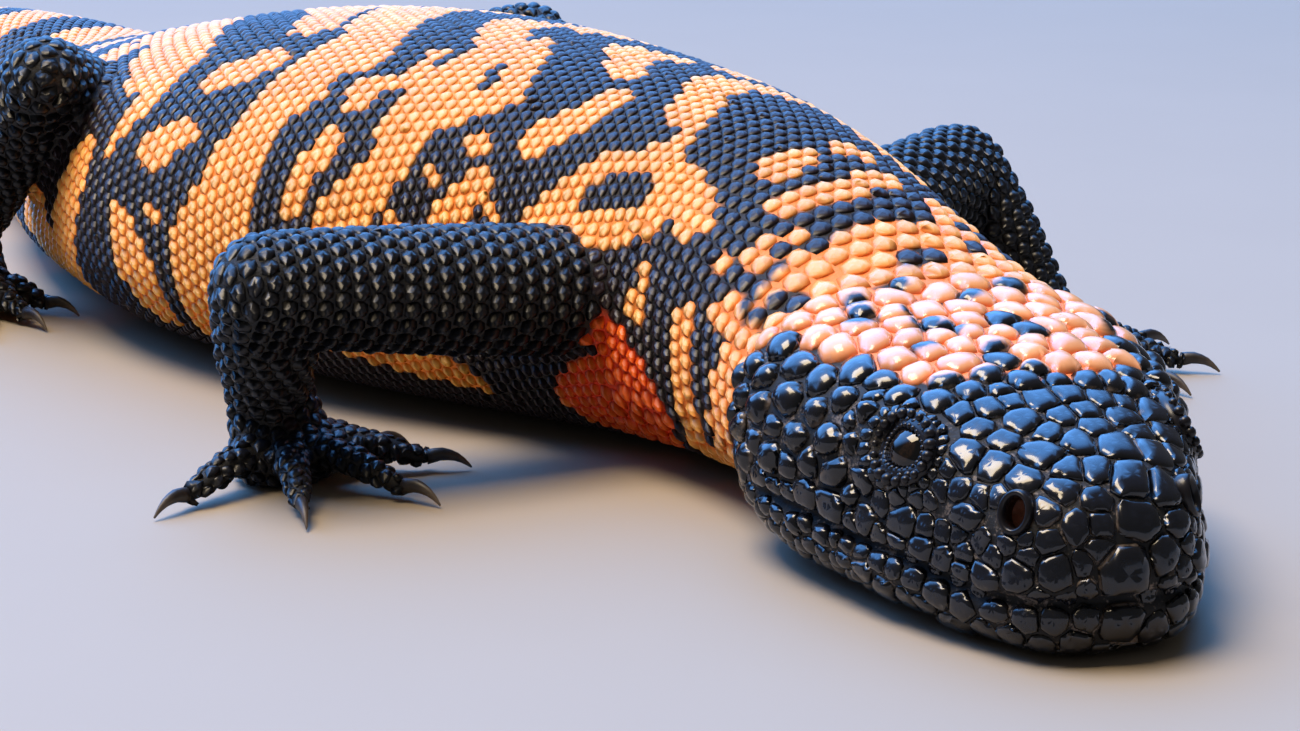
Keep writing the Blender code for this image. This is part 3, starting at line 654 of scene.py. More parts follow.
    @staticmethod
    def press(points: Array, frame_there: Frame, size: Pair, depth: float) -> None:
        """Press an oval hollow into points.

        Args:
            points: Points of the skin, which are changed.
            frame_there: Frame of the opening.
            size: Half sizes of the hollow.
            depth: Depth of its floor.
        """
        place, outward, along, rise = frame_there
        offset = points - place
        spread = np.sqrt((offset @ along / size[0]) ** 2 + (offset @ rise / size[1]) ** 2)
        near = np.abs(offset @ outward) < 6.0
        points -= np.outer(near * depth * smoothstep(1.15, 0.6, spread), outward)

    def index(self) -> None:
        """Keep triangles, smooth normals and a search tree of the skin."""
        mesh = self.item.data
        mesh.calc_loop_triangles()
        self.triangles = np.zeros(len(mesh.loop_triangles) * 3, np.int32)
        mesh.loop_triangles.foreach_get("vertices", self.triangles)
        self.triangles = self.triangles.reshape(-1, 3)
        self.points = read_points(mesh, "co") / MM
        self.normals = read_points(mesh, "normal")
        self.tree = BVHTree.FromPolygons(
            self.points.tolist(), self.triangles.tolist(), all_triangles=True
        )
        self.face_normals = unit(self.normals[self.triangles].sum(axis=1))
        self.spot = self.spine.survey(self.points)

    def project(self, points: Array) -> Tuple[Array, Array, Array]:
        """Nearest places on the skin, smooth normals there and distances."""
        found = [self.tree.find_nearest(point) for point in points.tolist()]
        places = np.array([place[:] for place, _, _, _ in found]).reshape(-1, 3)
        faces = np.array([face for _, _, face, _ in found], int)
        return places, self.face_normals[faces], np.array([gap for _, _, _, gap in found])


# ----- markings


# patches as chains of places: reach from the tail tip, distance round, half width
Chain = Tuple[Triple, ...]
ARMPIT: Chain = ((313.5, -37.0, 2.6), (320.7, -42.6, 5.6), (311.0, -54.0, 8.1))
LIGHT_PATCHES: Tuple[Chain, ...] = (
    # bars and spots of the loins and hips
    ((247.1, 1.5, 2.6), (251.3, -28.2, 5.6), (249.3, -33.6, 3.9), (248.3, -45.9, 6.0),
     (244.2, -52.5, 6.1), (242.7, -64.0, 5.0)),
    ((234.0, 8.0, 3.2), (246.9, -7.7, 5.4), (256.2, -19.3, 3.5)),
    ((220.2, 0.4, 2.4), (229.9, -1.9, 4.2), (237.0, -12.0, 3.6)),
    ((195.2, -9.0, 6.1), (208.3, -11.5, 6.6), (213.9, -20.0, 7.2), (221.1, -25.4, 6.4)),
    ((225.3, -30.2, 2.8), (222.5, -41.0, 1.3)),
    ((215.5, -42.0, 3.4), (208.0, -52.0, 5.0), (199.0, -68.0, 6.5)),
    # flank
    ((235.0, -27.5, 3.0), (240.0, -23.5, 3.6)),
    ((232.4, -39.9, 3.6), (236.5, -37.9, 2.6)),
    ((227.5, -50.5, 2.2), (229.0, -55.7, 4.0), (232.0, -64.0, 3.3)),
    # ribs, breast and back
    ((257.0, 8.0, 3.0), (265.0, -2.5, 3.6), (271.5, -10.0, 3.4), (272.7, -24.3, 4.4),
     (272.7, -35.1, 3.2), (268.7, -42.8, 3.6), (264.0, -54.0, 3.2)),
    ((273.0, -3.5, 2.0), (279.8, -13.7, 2.6)),
    ((272.7, -28.1, 3.0), (282.0, -17.8, 3.0)),
    ((263.0, -34.0, 2.2), (260.6, -43.9, 1.8)),
    ((264.8, -14.0, 1.3), (266.6, -22.0, 1.6)),
    ((288.0, -31.2, 2.8), (283.3, -40.1, 2.2), (280.0, -50.0, 2.6)),
    ((275.0, 13.0, 3.2), (284.0, 2.5, 3.4), (291.5, -5.0, 2.4)),
    ((295.0, 10.0, 2.6), (304.0, -1.5, 3.2), (309.0, -8.0, 3.2), (313.0, -14.0, 2.6)),
    # shoulders
    ((297.0, -10.5, 2.4), (296.0, -17.5, 2.8), (293.2, -22.0, 2.9)),
    ((320.1, -22.7, 2.0), (307.3, -29.6, 2.1), (302.5, -38.8, 4.6)),
    ((313.6, -17.0, 1.6), (306.6, -20.0, 2.0), (304.5, -25.6, 2.6), (298.5, -37.0, 2.9)),
    ((316.0, -17.4, 4.2), (325.4, -17.2, 3.4)),
    # nape, neck and jaw fold
    ((325.5, -1.5, 2.2), (326.5, -6.5, 2.6)),
    ((334.0, 1.5, 2.4), (333.4, -8.8, 1.9)),
    ((312.0, 9.0, 1.6), (322.0, 4.6, 1.4), (331.0, 6.8, 1.6)),
    ((338.6, -16.3, 1.6), (339.3, -10.7, 2.3)),
    ((344.2, -12.6, 1.3), (345.4, -18.4, 2.2)),
    ((340.4, -22.1, 2.5), (338.5, -23.6, 1.9)),
    ((332.3, -28.4, 2.1), (331.2, -42.0, 2.3), (329.0, -50.0, 3.0)),
    ((345.2, -28.1, 3.4), (340.9, -33.0, 2.7), (337.0, -46.5, 3.6)),
    # belly and single beads
    ((263.0, -60.0, 3.0), (286.0, -58.0, 3.0)),
    ((280.5, -32.8, 1.4),),
    ((292.2, -33.1, 1.4),),
    ((276.2, -41.3, 1.9),),
    ((284.6, -26.2, 2.2),),
    ((234.8, -49.2, 1.5),),
    ((262.5, -26.0, 3.0), (262.5, -24.5, 2.8)),
    ((259.0, -51.5, 2.2),),
    ((334.2, -19.1, 1.5),),
    ((321.8, -31.8, 2.0),),
    ((322.2, -27.9, 1.4),),
    ARMPIT,
)
DARK_PATCHES: Tuple[Chain, ...] = (
    ((307.0, -24.6, 1.1), (314.5, -20.2, 2.3)),
    ((305.8, -13.0, 1.7), (310.5, -12.4, 1.6)),
)
# dark beads among the light ones of the crown: distance behind the snout, side, radius
CROWN_BEADS = (
    (39.2, -5.5, 1.7), (33.2, -8.1, 1.6), (43.2, -5.1, 1.7), (37.0, -3.4, 1.6), (39.8, 4.0, 1.6),
    (39.2, 6.6, 1.6), (28.5, -1.0, 2.1), (34.8, 5.7, 1.3), (44.2, -11.3, 2.1), (41.0, -17.4, 1.6),
    (28.6, -4.6, 0.9), (31.0, 9.9, 1.1), (44.2, 18.8, 1.8), (33.4, 16.1, 1.7), (48.0, -10.2, 1.6),
    (38.5, 17.2, 1.5), (46.5, 2.5, 1.8), (49.0, 9.0, 1.9), (46.0, -1.5, 1.5), (50.5, -5.0, 1.9),
)


class Markings:
    """Where the animal is light, and the colour of each place on it."""

    trunk_orange = (0.93, 0.45, 0.11)
    flank_orange = (0.95, 0.42, 0.05)
    crown_peach = (0.96, 0.43, 0.19)
    neck_orange = (0.95, 0.42, 0.115)
    armpit_red = (0.82, 0.115, 0.008)
    belly_pink = (0.72, 0.33, 0.17)
    black = (0.0075, 0.0078, 0.0105)
    brown_black = (0.019, 0.0105, 0.0115)
    # light bands of the tail: middle and half width, from the tail tip
    tail_bands = ((8.0, 6.5), (39.0, 8.5), (73.0, 9.0), (107.0, 9.5), (140.0, 9.0),
                  (168.0, 8.0), (196.0, 7.5))
    # side and distance back of the front edge of the light crown
    crown_edge = ((-27.0, 60.0), (-21.1, 53.0), (-17.5, 43.5), (-15.6, 36.0), (-14.4, 31.0),
                  (-12.2, 27.6), (-10.1, 24.8), (-4.9, 24.2), (0.8, 24.6), (3.9, 21.4),
                  (7.4, 21.6), (9.8, 24.4), (12.0, 26.8), (16.8, 31.0), (19.0, 37.0),
                  (21.5, 46.0), (27.0, 58.0))

    def __init__(self) -> None:
        """Make the seeded noises that break the edges of the patches."""
        self.coarse = ValueNoise(11, 9.0)
        self.middle = ValueNoise(12, 4.2)
        self.broad = ValueNoise(13, 21.0)
        self.other_side = ValueNoise(14, 13.0)

    def light(self, spine: Spine, spot: Survey, limb: Array) -> Array:
        """How far inside the light pattern each point lies, in millimetres.

        Args:
            spine: Shape of the animal.
            spot: Points on the skin.
            limb: True where a point belongs to a limb.

        Returns:
            Positive inside a light patch, negative on the dark ground.
        """
        points, reach, arc = spot.points, spot.reach, spot.arc
        coarse, middle = self.coarse(points), self.middle(points)
        left = arc > 0
        shift = 5.0 * self.other_side(points)
        share = np.clip(arc / 9.0, 0.0, 1.0)
        seen_arc = np.where(left, arc * (1.0 - share) + (-arc * 0.97 + shift * 0.6) * share, arc)
        seen_reach = reach + (4.0 + shift) * share
        inside = np.full(len(points), -30.0)
        for patch in LIGHT_PATCHES:
            inside = np.maximum(inside, self.patch_depth(patch, seen_reach, seen_arc))
        for patch in DARK_PATCHES:
            inside = np.minimum(inside, -self.patch_depth(patch, seen_reach, seen_arc))
        inside = inside + (0.18 + 0.35 * share) * (1.1 * coarse + 0.7 * middle)
        bands = np.full(len(points), -30.0)
        slant = 3.0 * self.broad(points) + 2.2 * coarse + 1.2 * middle
        for place, width in self.tail_bands:
            bands = np.maximum(bands, width - np.abs(reach + slant - place))
        spots = 1.8 * self.middle(points + 57.0) + 2.2 * self.coarse(points + 31.0) - 1.7
        dark_spots = 2.0 * self.middle(points + 19.0) + 1.8 * self.coarse(points + 87.0) - 1.75
        bands = np.minimum(np.maximum(bands, spots), -dark_spots)
        behind = smoothstep(205.0, 197.0, reach)
        inside = inside * (1.0 - behind) + bands * behind
        belly = 2.4 * self.coarse(points + 43.0) + 1.8 * self.middle(points + 71.0) + 0.1
        low = smoothstep(0.86, 0.94, spot.low)
        inside = inside * (1.0 - low) + belly * low
        inside = self.head_light(spine, spot, inside)
        return np.where(limb, -6.0 + 5.0 * self.coarse(points + 7.0), inside)

    @staticmethod
    def patch_depth(patch: Chain, reach: Array, arc: Array) -> Array:
        """Distance inside a patch, taken as a chain of tapered capsules.

        Args:
            patch: Places along the chain.
            reach: Distance of the points from the tail tip.
            arc: Distance of the points round from the top line.

        Returns:
            Positive inside the patch.
        """
        best = np.full(len(reach), -99.0)
        places = patch if len(patch) > 1 else patch * 2
        for (r0, a0, w0), (r1, a1, w1) in zip(places, places[1:]):
            dr, da = r1 - r0, a1 - a0
            span = dr * dr + da * da
            t = np.clip(((reach - r0) * dr + (arc - a0) * da) / max(span, 1e-6), 0.0, 1.0)
            gap = np.hypot(reach - r0 - t * dr, arc - a0 - t * da)
            best = np.maximum(best, w0 + t * (w1 - w0) - gap)
        return best

    def head_light(self, spine: Spine, spot: Survey, inside: Array) -> Array:
        """Light crown and dark face, blended into the neck."""
        points = spot.points
        back, side, height = spine.head_coordinates(points)
        edge = np.array(self.crown_edge)
        crown = np.minimum(back - np.interp(side, edge[:, 0], edge[:, 1]), 12.0)
        crown = np.minimum(crown, height - 17.5)
        for place, out, radius in CROWN_BEADS:
            crown = np.minimum(crown, np.hypot(back - place, side - out) - radius)
        neck = 0.5 - 4.6 * self.middle(points + 3.0) - 2.6 * self.coarse(points + 23.0)
        neck = np.minimum(neck, (height - 14.0) * 0.8 + 2.0 * self.coarse(points + 2.0))
        share = smoothstep(50.0, 55.0, back)
        head = crown * (1.0 - share) + neck * share
        behind = smoothstep(350.0, 344.0, spot.reach + 0.12 * np.abs(side))
        upper = np.where(side > -14.0, smoothstep(343.0, 336.0, spot.reach), behind)
        return head * (1.0 - upper) + inside * upper

    def paint(self, spot: Survey, limb: Array) -> Tuple[Array, Array]:
        """Light and dark colour of each point.

        Args:
            spot: Points on the skin.
            limb: True where a point belongs to a limb.

        Returns:
            Linear colours of the light patches and of the dark ground.
        """
        light = np.tile(np.array(self.trunk_orange), (len(spot.points), 1))
        pit = self.patch_depth(ARMPIT, spot.reach, -np.abs(spot.arc))
        for share, colour in (
            (smoothstep(0.45, 0.75, spot.low), self.flank_orange),
            (smoothstep(0.84, 0.94, spot.low), self.belly_pink),
            (smoothstep(318.0, 345.0, spot.reach), self.neck_orange),
            (smoothstep(349.0, 358.0, spot.reach), self.crown_peach),
            (smoothstep(-2.0, 0.8, pit), self.armpit_red),
        ):
            light += (np.array(colour) - light) * share[:, None]
        shade = 1.0 + 0.07 * self.coarse(spot.points) + 0.05 * self.middle(spot.points)
        head_or_limb = ((spot.reach > 352.0) | limb)[:, None]
        dark = np.where(head_or_limb, np.array(self.black), np.array(self.brown_black))
        return np.clip(light * shade[:, None], 0.0, 1.0), dark


# ----- scales


class Region(Enum):
    """Parts of the coat, each one joined mesh."""

    TAIL_END = "scales_tail_end"
    TAIL = "scales_tail"
    RUMP = "scales_rump"
    HIPS = "scales_hips"
    LOINS = "scales_loins"
    RIBS = "scales_ribs"
    SHOULDERS = "scales_shoulders"
    NECK = "scales_neck"
    HEAD = "scales_head"
    JAW = "scales_jaw"
    ARM_RIGHT = "scales_right_arm"
    ARM_LEFT = "scales_left_arm"
    LEG_RIGHT = "scales_right_leg"
    LEG_LEFT = "scales_left_leg"


# reach from the tail tip where each part of tail and trunk starts
REGION_STARTS = (
    (0.0, Region.TAIL_END), (75.0, Region.TAIL), (140.0, Region.RUMP), (182.0, Region.HIPS),
    (215.0, Region.LOINS), (249.0, Region.RIBS), (283.0, Region.SHOULDERS), (320.0, Region.NECK),
)
LIMB_REGIONS = (Region.ARM_RIGHT, Region.ARM_LEFT, Region.LEG_RIGHT, Region.LEG_LEFT)


class Form(Enum):
    """Kinds of scale."""

    BEAD = 0
    PLATE = 1
    GRANULE = 2
    BELLY = 3
    LIMB = 4
    TEMPLE = 5
    CROWN = 6


@dataclass(frozen=True)
class Profile:
    """Shape of one kind of scale: height over pitch, fullness, edge, corners and groove."""

    height: float
    swell: float
    edge: float
    corner: float
    soft: float
    gap: float


PROFILES: Dict[Form, Profile] = {
    Form.BEAD: Profile(height=0.25, swell=2.3, edge=0.6, corner=8.0, soft=3.4, gap=0.05),
    Form.PLATE: Profile(height=0.17, swell=4.6, edge=0.5, corner=28.0, soft=10.0, gap=0.025),
    Form.GRANULE: Profile(height=0.27, swell=2.4, edge=0.6, corner=12.0, soft=4.0, gap=0.04),
    Form.BELLY: Profile(height=0.12, swell=4.0, edge=0.6, corner=20.0, soft=8.0, gap=0.05),
    Form.LIMB: Profile(height=0.26, swell=2.3, edge=0.62, corner=10.0, soft=4.0, gap=0.04),
    Form.TEMPLE: Profile(height=0.34, swell=2.5, edge=0.6, corner=8.0, soft=3.2, gap=0.09),
    Form.CROWN: Profile(height=0.25, swell=2.6, edge=0.58, corner=12.0, soft=4.5, gap=0.03),
}

# plates of the head: distance behind the snout, side, height and width
PLATES = (
    (22.2, -11.3, 23.4, 4.4), (26.0, -14.4, 23.1, 3.5), (23.2, -14.2, 22.4, 3.0),
    (28.2, -16.1, 22.8, 2.4), (19.0, -13.7, 21.1, 4.3), (13.8, -11.7, 19.6, 4.4),
    (11.2, -9.8, 19.4, 4.0), (7.8, -8.1, 18.8, 3.7), (4.5, -5.0, 18.3, 3.4),
    (16.5, -9.3, 22.0, 3.3), (13.5, -7.7, 21.2, 3.1), (15.5, -4.7, 22.5, 4.0),
    (9.8, -5.0, 20.4, 4.6), (13.0, -2.6, 21.7, 3.5), (15.5, 0.0, 22.7, 3.2),
    (11.2, -0.6, 21.1, 3.9), (13.5, 2.6, 21.9, 3.4), (16.0, 2.8, 22.9, 3.2),
    (10.0, 3.8, 20.6, 4.3), (6.0, -0.5, 19.4, 3.6), (4.5, 2.6, 18.7, 5.2), (15.2, 7.0, 22.1, 3.6),
    (13.0, 7.8, 20.9, 3.4), (17.5, 11.9, 21.5, 5.2), (10.0, 8.2, 19.6, 4.6),
    (21.8, 8.7, 24.0, 4.9), (21.5, 10.7, 23.4, 4.6), (18.2, 6.0, 23.4, 3.1),
    (18.0, 8.4, 22.9, 2.9), (22.2, 2.3, 24.8, 2.8), (19.0, 2.2, 24.0, 3.2),
    (22.5, -1.3, 24.9, 4.4), (21.2, -4.7, 24.5, 2.9), (19.0, -4.5, 23.9, 3.0),
    (27.5, 17.1, 21.8, 4.0), (3.8, 6.5, 17.2, 4.7), (0.8, 2.0, 15.2, 4.6), (0.8, -2.5, 15.1, 3.3),
    (2.5, -2.2, 17.4, 3.2), (1.0, -4.6, 15.1, 3.4), (1.8, -8.0, 13.5, 3.0),
    (11.8, -13.4, 16.8, 2.8), (9.5, -12.2, 16.7, 2.4), (8.0, -10.8, 17.2, 2.2),
    (13.8, -14.8, 16.4, 2.1), (14.2, -13.6, 18.4, 2.2), (16.2, -16.7, 14.8, 2.1),
    (19.0, -18.0, 14.0, 2.7), (23.5, -19.6, 14.9, 3.5), (14.5, -15.7, 15.1, 1.8),
    (43.2, -24.0, 18.6, 4.2), (39.0, -22.1, 20.6, 5.1), (36.8, -19.1, 22.9, 4.5),
    (33.8, -20.9, 20.2, 3.4), (39.5, -23.9, 17.2, 2.9), (35.0, -22.8, 16.9, 3.8),
    (29.8, -21.0, 17.7, 4.4), (39.0, -24.1, 13.6, 4.1), (35.8, -23.4, 13.4, 3.3),
    (32.5, -22.4, 14.8, 3.3), (28.2, -21.1, 14.5, 4.2), (42.8, -24.7, 14.5, 2.7),
    (44.8, -22.6, 21.5, 3.6), (41.5, -19.8, 23.4, 4.9), (31.5, -18.5, 22.0, 3.4),
    (28.2, -19.0, 20.2, 2.3), (26.8, -19.6, 18.5, 2.2), (33.0, -22.6, 10.8, 3.8),
    (38.5, -24.0, 9.4, 3.2), (28.2, -21.2, 10.5, 4.4), (22.8, -19.5, 10.8, 4.0),
    (17.5, -17.5, 11.7, 4.0), (14.8, -16.3, 12.0, 2.4), (12.5, -15.3, 12.3, 2.0),
    (10.5, -14.3, 12.4, 2.0), (8.0, -13.2, 12.2, 2.5), (4.8, -11.3, 12.6, 2.4),
    (3.2, -9.8, 13.4, 1.9), (33.2, -22.5, 8.4, 3.3), (35.0, -22.9, 7.1, 3.1),
    (30.0, -21.5, 7.4, 3.0), (25.8, -20.3, 7.7, 2.7), (23.2, -19.5, 7.6, 2.2),
    (20.5, -18.5, 6.9, 3.4), (18.5, -17.8, 7.0, 2.9), (23.0, -18.8, 4.8, 3.7),
    (15.5, -16.5, 6.4, 3.4), (21.2, -17.5, 3.5, 5.2), (18.2, -16.1, 2.9, 4.0),
    (12.8, -15.2, 5.5, 4.4), (9.8, -13.8, 5.0, 3.6), (5.8, -12.0, 5.7, 3.8),
    (13.8, -12.6, 1.3, 5.0), (0.8, -7.4, 10.4, 4.3), (3.2, -10.5, 9.7, 4.0),
    (6.8, -12.7, 8.2, 4.0), (9.5, -14.0, 8.4, 2.7), (14.8, -16.3, 9.7, 4.0),
    (17.8, -17.6, 9.6, 2.5), (20.8, -18.8, 9.4, 2.3), (0.0, 4.8, 11.0, 4.0),
    (1.8, 7.4, 14.3, 3.5), (0.8, 7.5, 9.6, 2.6), (34.2, -15.8, 24.2, 4.9),
    (40.5, -15.6, 25.3, 5.2), (39.2, -11.8, 26.2, 4.8), (32.8, -11.6, 25.4, 5.1),
    (37.2, -8.5, 26.5, 4.3), (32.8, -8.0, 26.1, 4.1), (28.2, -6.4, 25.7, 4.5),
    (29.0, -11.1, 25.0, 3.6), (25.5, -9.0, 24.8, 3.5), (24.8, -4.6, 25.2, 4.1),
    (33.0, -4.2, 26.5, 4.0), (36.0, -5.3, 26.7, 4.3), (32.0, -0.9, 26.4, 4.3),
    (27.2, -1.4, 25.8, 4.0), (32.2, 4.2, 26.4, 4.0), (28.8, 2.0, 26.0, 4.5),
    (25.8, 4.2, 25.4, 4.9), (31.2, 7.5, 26.0, 5.2), (26.5, 8.8, 25.0, 4.7),
    (22.0, 6.2, 24.5, 3.9), (31.5, 12.1, 25.1, 5.2), (29.0, 12.9, 24.4, 5.2),
    (44.5, -16.5, 25.6, 5.0), (47.0, -19.5, 24.4, 5.2), (49.8, -16.9, 26.1, 4.2),
    (0.0, 0.0, 10.0, 7.0), (0.0, 0.0, 5.0, 5.2), (12.2, -15.2, 9.1, 3.0), (24.8, -20.0, 9.8, 3.0),
    (0.6, -7.5, 5.3, 3.6), (2.6, -9.9, 5.2, 3.4),
)


@dataclass
class Sites:
    """Places of scales and what each is."""

    place: Array = field(default_factory=lambda: np.zeros((0, 3)))
    along: Array = field(default_factory=lambda: np.zeros((0, 3)))
    pitch: Array = field(default_factory=lambda: np.zeros(0))
    form: Array = field(default_factory=lambda: np.zeros(0, int))
    fixed: Array = field(default_factory=lambda: np.zeros(0, bool))
    limb: Array = field(default_factory=lambda: np.zeros(0, int))

    def add(self, place: Array, along: Array, pitch: Array, form: Array, fixed: bool = False,
            limb: Array = -1) -> None:
        """Append places that share one fixed flag."""
        given = {"place": place, "along": along, "pitch": pitch, "form": form, "fixed": fixed,
                 "limb": limb}
        for name, value in given.items() if len(place) else ():
            rows = getattr(self, name)
            fresh = np.broadcast_to(value, (len(place), *rows.shape[1:]))
            setattr(self, name, np.concatenate([rows, fresh]))

    def keep(self, mask: Array) -> None:
        """Drop the places where mask is False."""
        for name, rows in list(vars(self).items()):
            setattr(self, name, rows[mask])


def distance_to(points: Array, start: Array, stop: Array, first: float, last: float) -> Array:
    """Distance of points from a tapered rod."""
    way = stop - start
    t = np.clip((points - start) @ way / (way @ way), 0.0, 1.0)
    return np.linalg.norm(points - start - np.outer(t, way), axis=1) - first - (last - first) * t


def nearest_of(tree: KDTree, points: Array, count: int) -> Tuple[Array, Array]:
    """Numbers and distances of the nearest count points of a tree."""
    found = [[hit[1:] for hit in tree.find_n(point, count)] for point in points.tolist()]
    found = np.array(found)
    return found[:, :, 0].astype(int), found[:, :, 1]


class Layout:
    """Sets out every scale of the animal on the skin."""

    head_start = 353.0
    # where the granules of the throat start, and where they and the belly start from below
    throat_start = 312.0
    throat_low = 0.62
    belly_low = 0.86
    # reach from the tail tip and the pitch of the beads there
    trunk_pitch = ((0.0, 1.8), (12.0, 1.95), (45.0, 2.0), (230.0, 1.95), (318.0, 1.85))
    back_pitch = trunk_pitch + ((329.0, 2.2), (340.0, 2.9), (352.0, 3.5))
    flank_pitch = trunk_pitch + ((352.0, 2.2),)
    row_step = 0.92
    # least distance of two scales over the sum of their pitches
    crowding = 0.36
    fill_room = 0.41
    limb_pitch = 2.3
    digit_pitch = 1.7

    def __init__(self, skin: Skin, openings: Openings) -> None:
        """Place the plates, rings and rows, fill what is left and even it all out."""
        self.skin, self.spine, self.openings = skin, skin.spine, openings
        self.draw = np.random.default_rng(5)
        self.sites = Sites()
        self.mouth_path = self.mouth_line()
        self.barriers = np.array(self.rims())
        self.head_plates()
        self.eye_rings()
        self.body_rows()
        self.limb_rows()
        self.settle()
        self.thin_out()
        self.fill()
        self.relax(12)

    # pitches

    def row_pitch(self, reach: Array, low: Array) -> Array:
        """Pitch of the beads of tail, trunk and neck."""
        back = np.interp(reach, *np.array(self.back_pitch).T)
        flank = np.interp(reach, *np.array(self.flank_pitch).T)
        return back + (flank - back) * smoothstep(0.3, 0.5, low)

    def pitch_at(self, spot: Survey) -> Tuple[Array, Array, Array]:
        """Pitch, form and limb number that suit points of the skin."""
        points, reach, low = spot.points, spot.reach, spot.low
        pitch = self.row_pitch(reach, low)
        form = np.where(low > self.belly_low, Form.BELLY.value, Form.BEAD.value)
        throat = (reach > self.throat_start) & (low > self.throat_low)
        pitch = np.where(throat, 2.2, pitch)
        form[throat] = Form.GRANULE.value
        on_head = reach > self.head_start
        head_pitch, head_form = self.head_pitch(points)
        pitch = np.where(on_head, head_pitch, pitch)
        form = np.where(on_head, head_form, form)
        limb = self.limb_of(points, spot.gap)
        for number, item in enumerate(self.skin.limbs):
            near = np.linalg.norm(points - item.palm_middle(), axis=1) < 26.0
            drop = smoothstep(12.0, 6.0, points[:, 2]) * near
            own = self.limb_pitch + (self.digit_pitch - self.limb_pitch) * drop
            pitch = np.where(limb == number, own, pitch)
        form = np.where(limb >= 0, Form.LIMB.value, form)
        return pitch, form, limb

    def limb_of(self, points: Array, gap: Array) -> Array:
        """Number of the limb that each point belongs to, or -1."""
        limb = np.full(len(points), -1)
        away = np.full(len(points), 1e6)
        for number, item in enumerate(self.skin.limbs):
            for start, stop, first, last in item.lengths():
                off = distance_to(points, start, stop, first, last)
                limb = np.where(off < np.minimum(away, 1.4), number, limb)
                away = np.minimum(away, off)
            near = np.linalg.norm(points - item.palm_middle(), axis=1) < 30.0
            for turn, length in item.digits:
                path, radii = item.digit_path(turn, length)
                for a, b, r in zip(path, path[1:], radii):
                    off = distance_to(points, a, b, r, r)
                    limb = np.where(near & (off < 1.5), number, limb)
            limb = np.where(near & (points[:, 2] < 7.0) & (gap > 2.5), number, limb)
        limb[(gap < 1.2) & (points[:, 2] > 2.0)] = -1
        return limb

    def head_pitch(self, points: Array) -> Tuple[Array, Array]:
        """Pitch and form of the scales of the head."""
        back, side, height = self.spine.head_coordinates(points)
        apart = height - self.spine.mouth_height(back)
        pitch = np.interp(back, (0.0, 8.0, 20.0, 30.0, 48.0), (3.5, 3.7, 3.8, 4.0, 3.9))
        temple = smoothstep(22.0, 27.0, back) * smoothstep(23.6, 21.0, height)
        pitch = pitch + (3.5 - pitch) * temple
        cheek = smoothstep(7.5, 4.5, apart) * smoothstep(44.0, 12.0, back) * (apart > 0)
        pitch = pitch + (2.5 - pitch) * cheek
        jaw = apart < 0
        pitch = np.where(jaw, np.interp(-apart, (0.0, 5.0, 9.0), (3.2, 3.4, 2.7)), pitch)
        form = np.full(len(points), Form.PLATE.value)
        form[(temple > 0.4) & ~jaw & (apart > 2.6)] = Form.TEMPLE.value
        crown = (back > 20.5) & (height > 22.0 - 0.1 * np.abs(side)) & (temple < 0.5)
        form[crown] = Form.CROWN.value
        rear = jaw & (back > 24.0)
        pitch = np.where(rear, 2.3, pitch)
        form[rear] = Form.GRANULE.value
        return pitch, form

    # places that follow a feature

    def mouth_line(self) -> Array:
        """Left half of the line of the mouth on the skin, from the middle backwards."""
        backs = np.concatenate([np.full(5, 0.0), np.arange(0.3, 44.0, 0.5)])
        sides = []
        for back in backs:
            ring = self.spine.head_outline(max(back, 0.3))
            _, side, height = self.spine.head_coordinates(ring)
            level = np.abs(height - self.spine.mouth_height(back)[0]) + (side < 0) * 99.0
            sides.append(side[level.argmin()])
        sides = np.array(sides)
        sides[:5] = np.linspace(0.0, sides[5] * 0.85, 5)
        return self.spine.head_place(backs, sides, self.spine.mouth_height(backs))

    def rims(self) -> List[Array]:
        """Points that scales stop at: lid, nostril and ear rims and the line of the mouth."""
        rims = list(self.mouth_path)
        rims += list(self.mirror(self.mouth_path))
        for side in (-1.0, 1.0):
            for frame_of, size, *_ in self.openings.kinds():
                place, _, along, rise = frame_of(self.spine, side)
                for turn in np.linspace(0.0, 2.0 * np.pi, 20, endpoint=False):
                    rims.append(place + along * math.cos(turn) * size[0]
                                + rise * math.sin(turn) * size[1])
        return rims

    def head_plates(self) -> None:
        """Measured plates of the head, mirrored where the other side has none."""
        plates = np.array(PLATES)
        other = plates[np.abs(plates[:, 1]) > 2.0] * (1.0, -1.0, 1.0, 1.0)
        gap = np.linalg.norm(other[:, None, :3] - plates[None, :, :3], axis=2)
        room = 0.42 * (other[:, None, 3] + plates[None, :, 3])
        plates = np.concatenate([plates, other[(gap > room).all(axis=1)]])
        place = self.spine.head_place(plates[:, 0] - 0.6, plates[:, 1], plates[:, 2])
        place, _, _ = self.skin.project(place)
        _, form = self.head_pitch(place)
        self.sites.add(place, self.spine.ahead, plates[:, 3], form, True)

    def eye_rings(self) -> None:
        """Granules round each eye, between the lid and the plates."""
        for side in (-1.0, 1.0):
            place, _, along, rise = self.openings.eye_frame(self.spine, side)
            long, high = self.openings.lid_reach
            turns = circle(20, 0.5)
            ring = (place + np.outer(np.cos(turns) * (long + 0.75), along)
                    + np.outer(np.sin(turns) * (high + 0.75), rise))
            self.sites.add(ring, self.spine.ahead, 1.35, Form.GRANULE.value, True)

    def mirror(self, points: Array) -> Array:
        """Reflect points across the middle plane of the head."""
        back, side, height = self.spine.head_coordinates(points)
        return self.spine.head_place(back, -side, height)

    def inside_openings(self, points: Array, margin: float = 0.3) -> Array:
        """True where a point lies within an eye, nostril or ear."""
        inside = np.zeros(len(points), bool)
        for side in (-1.0, 1.0):
            for frame_of, size, *_ in self.openings.kinds():
                place, outward, along, rise = frame_of(self.spine, side)
                offset = points - place
                spread = np.hypot(offset @ along / (size[0] + margin),
                                  offset @ rise / (size[1] + margin))
                inside |= (spread < 1.0) & (np.abs(offset @ outward) < 6.0)
        return inside

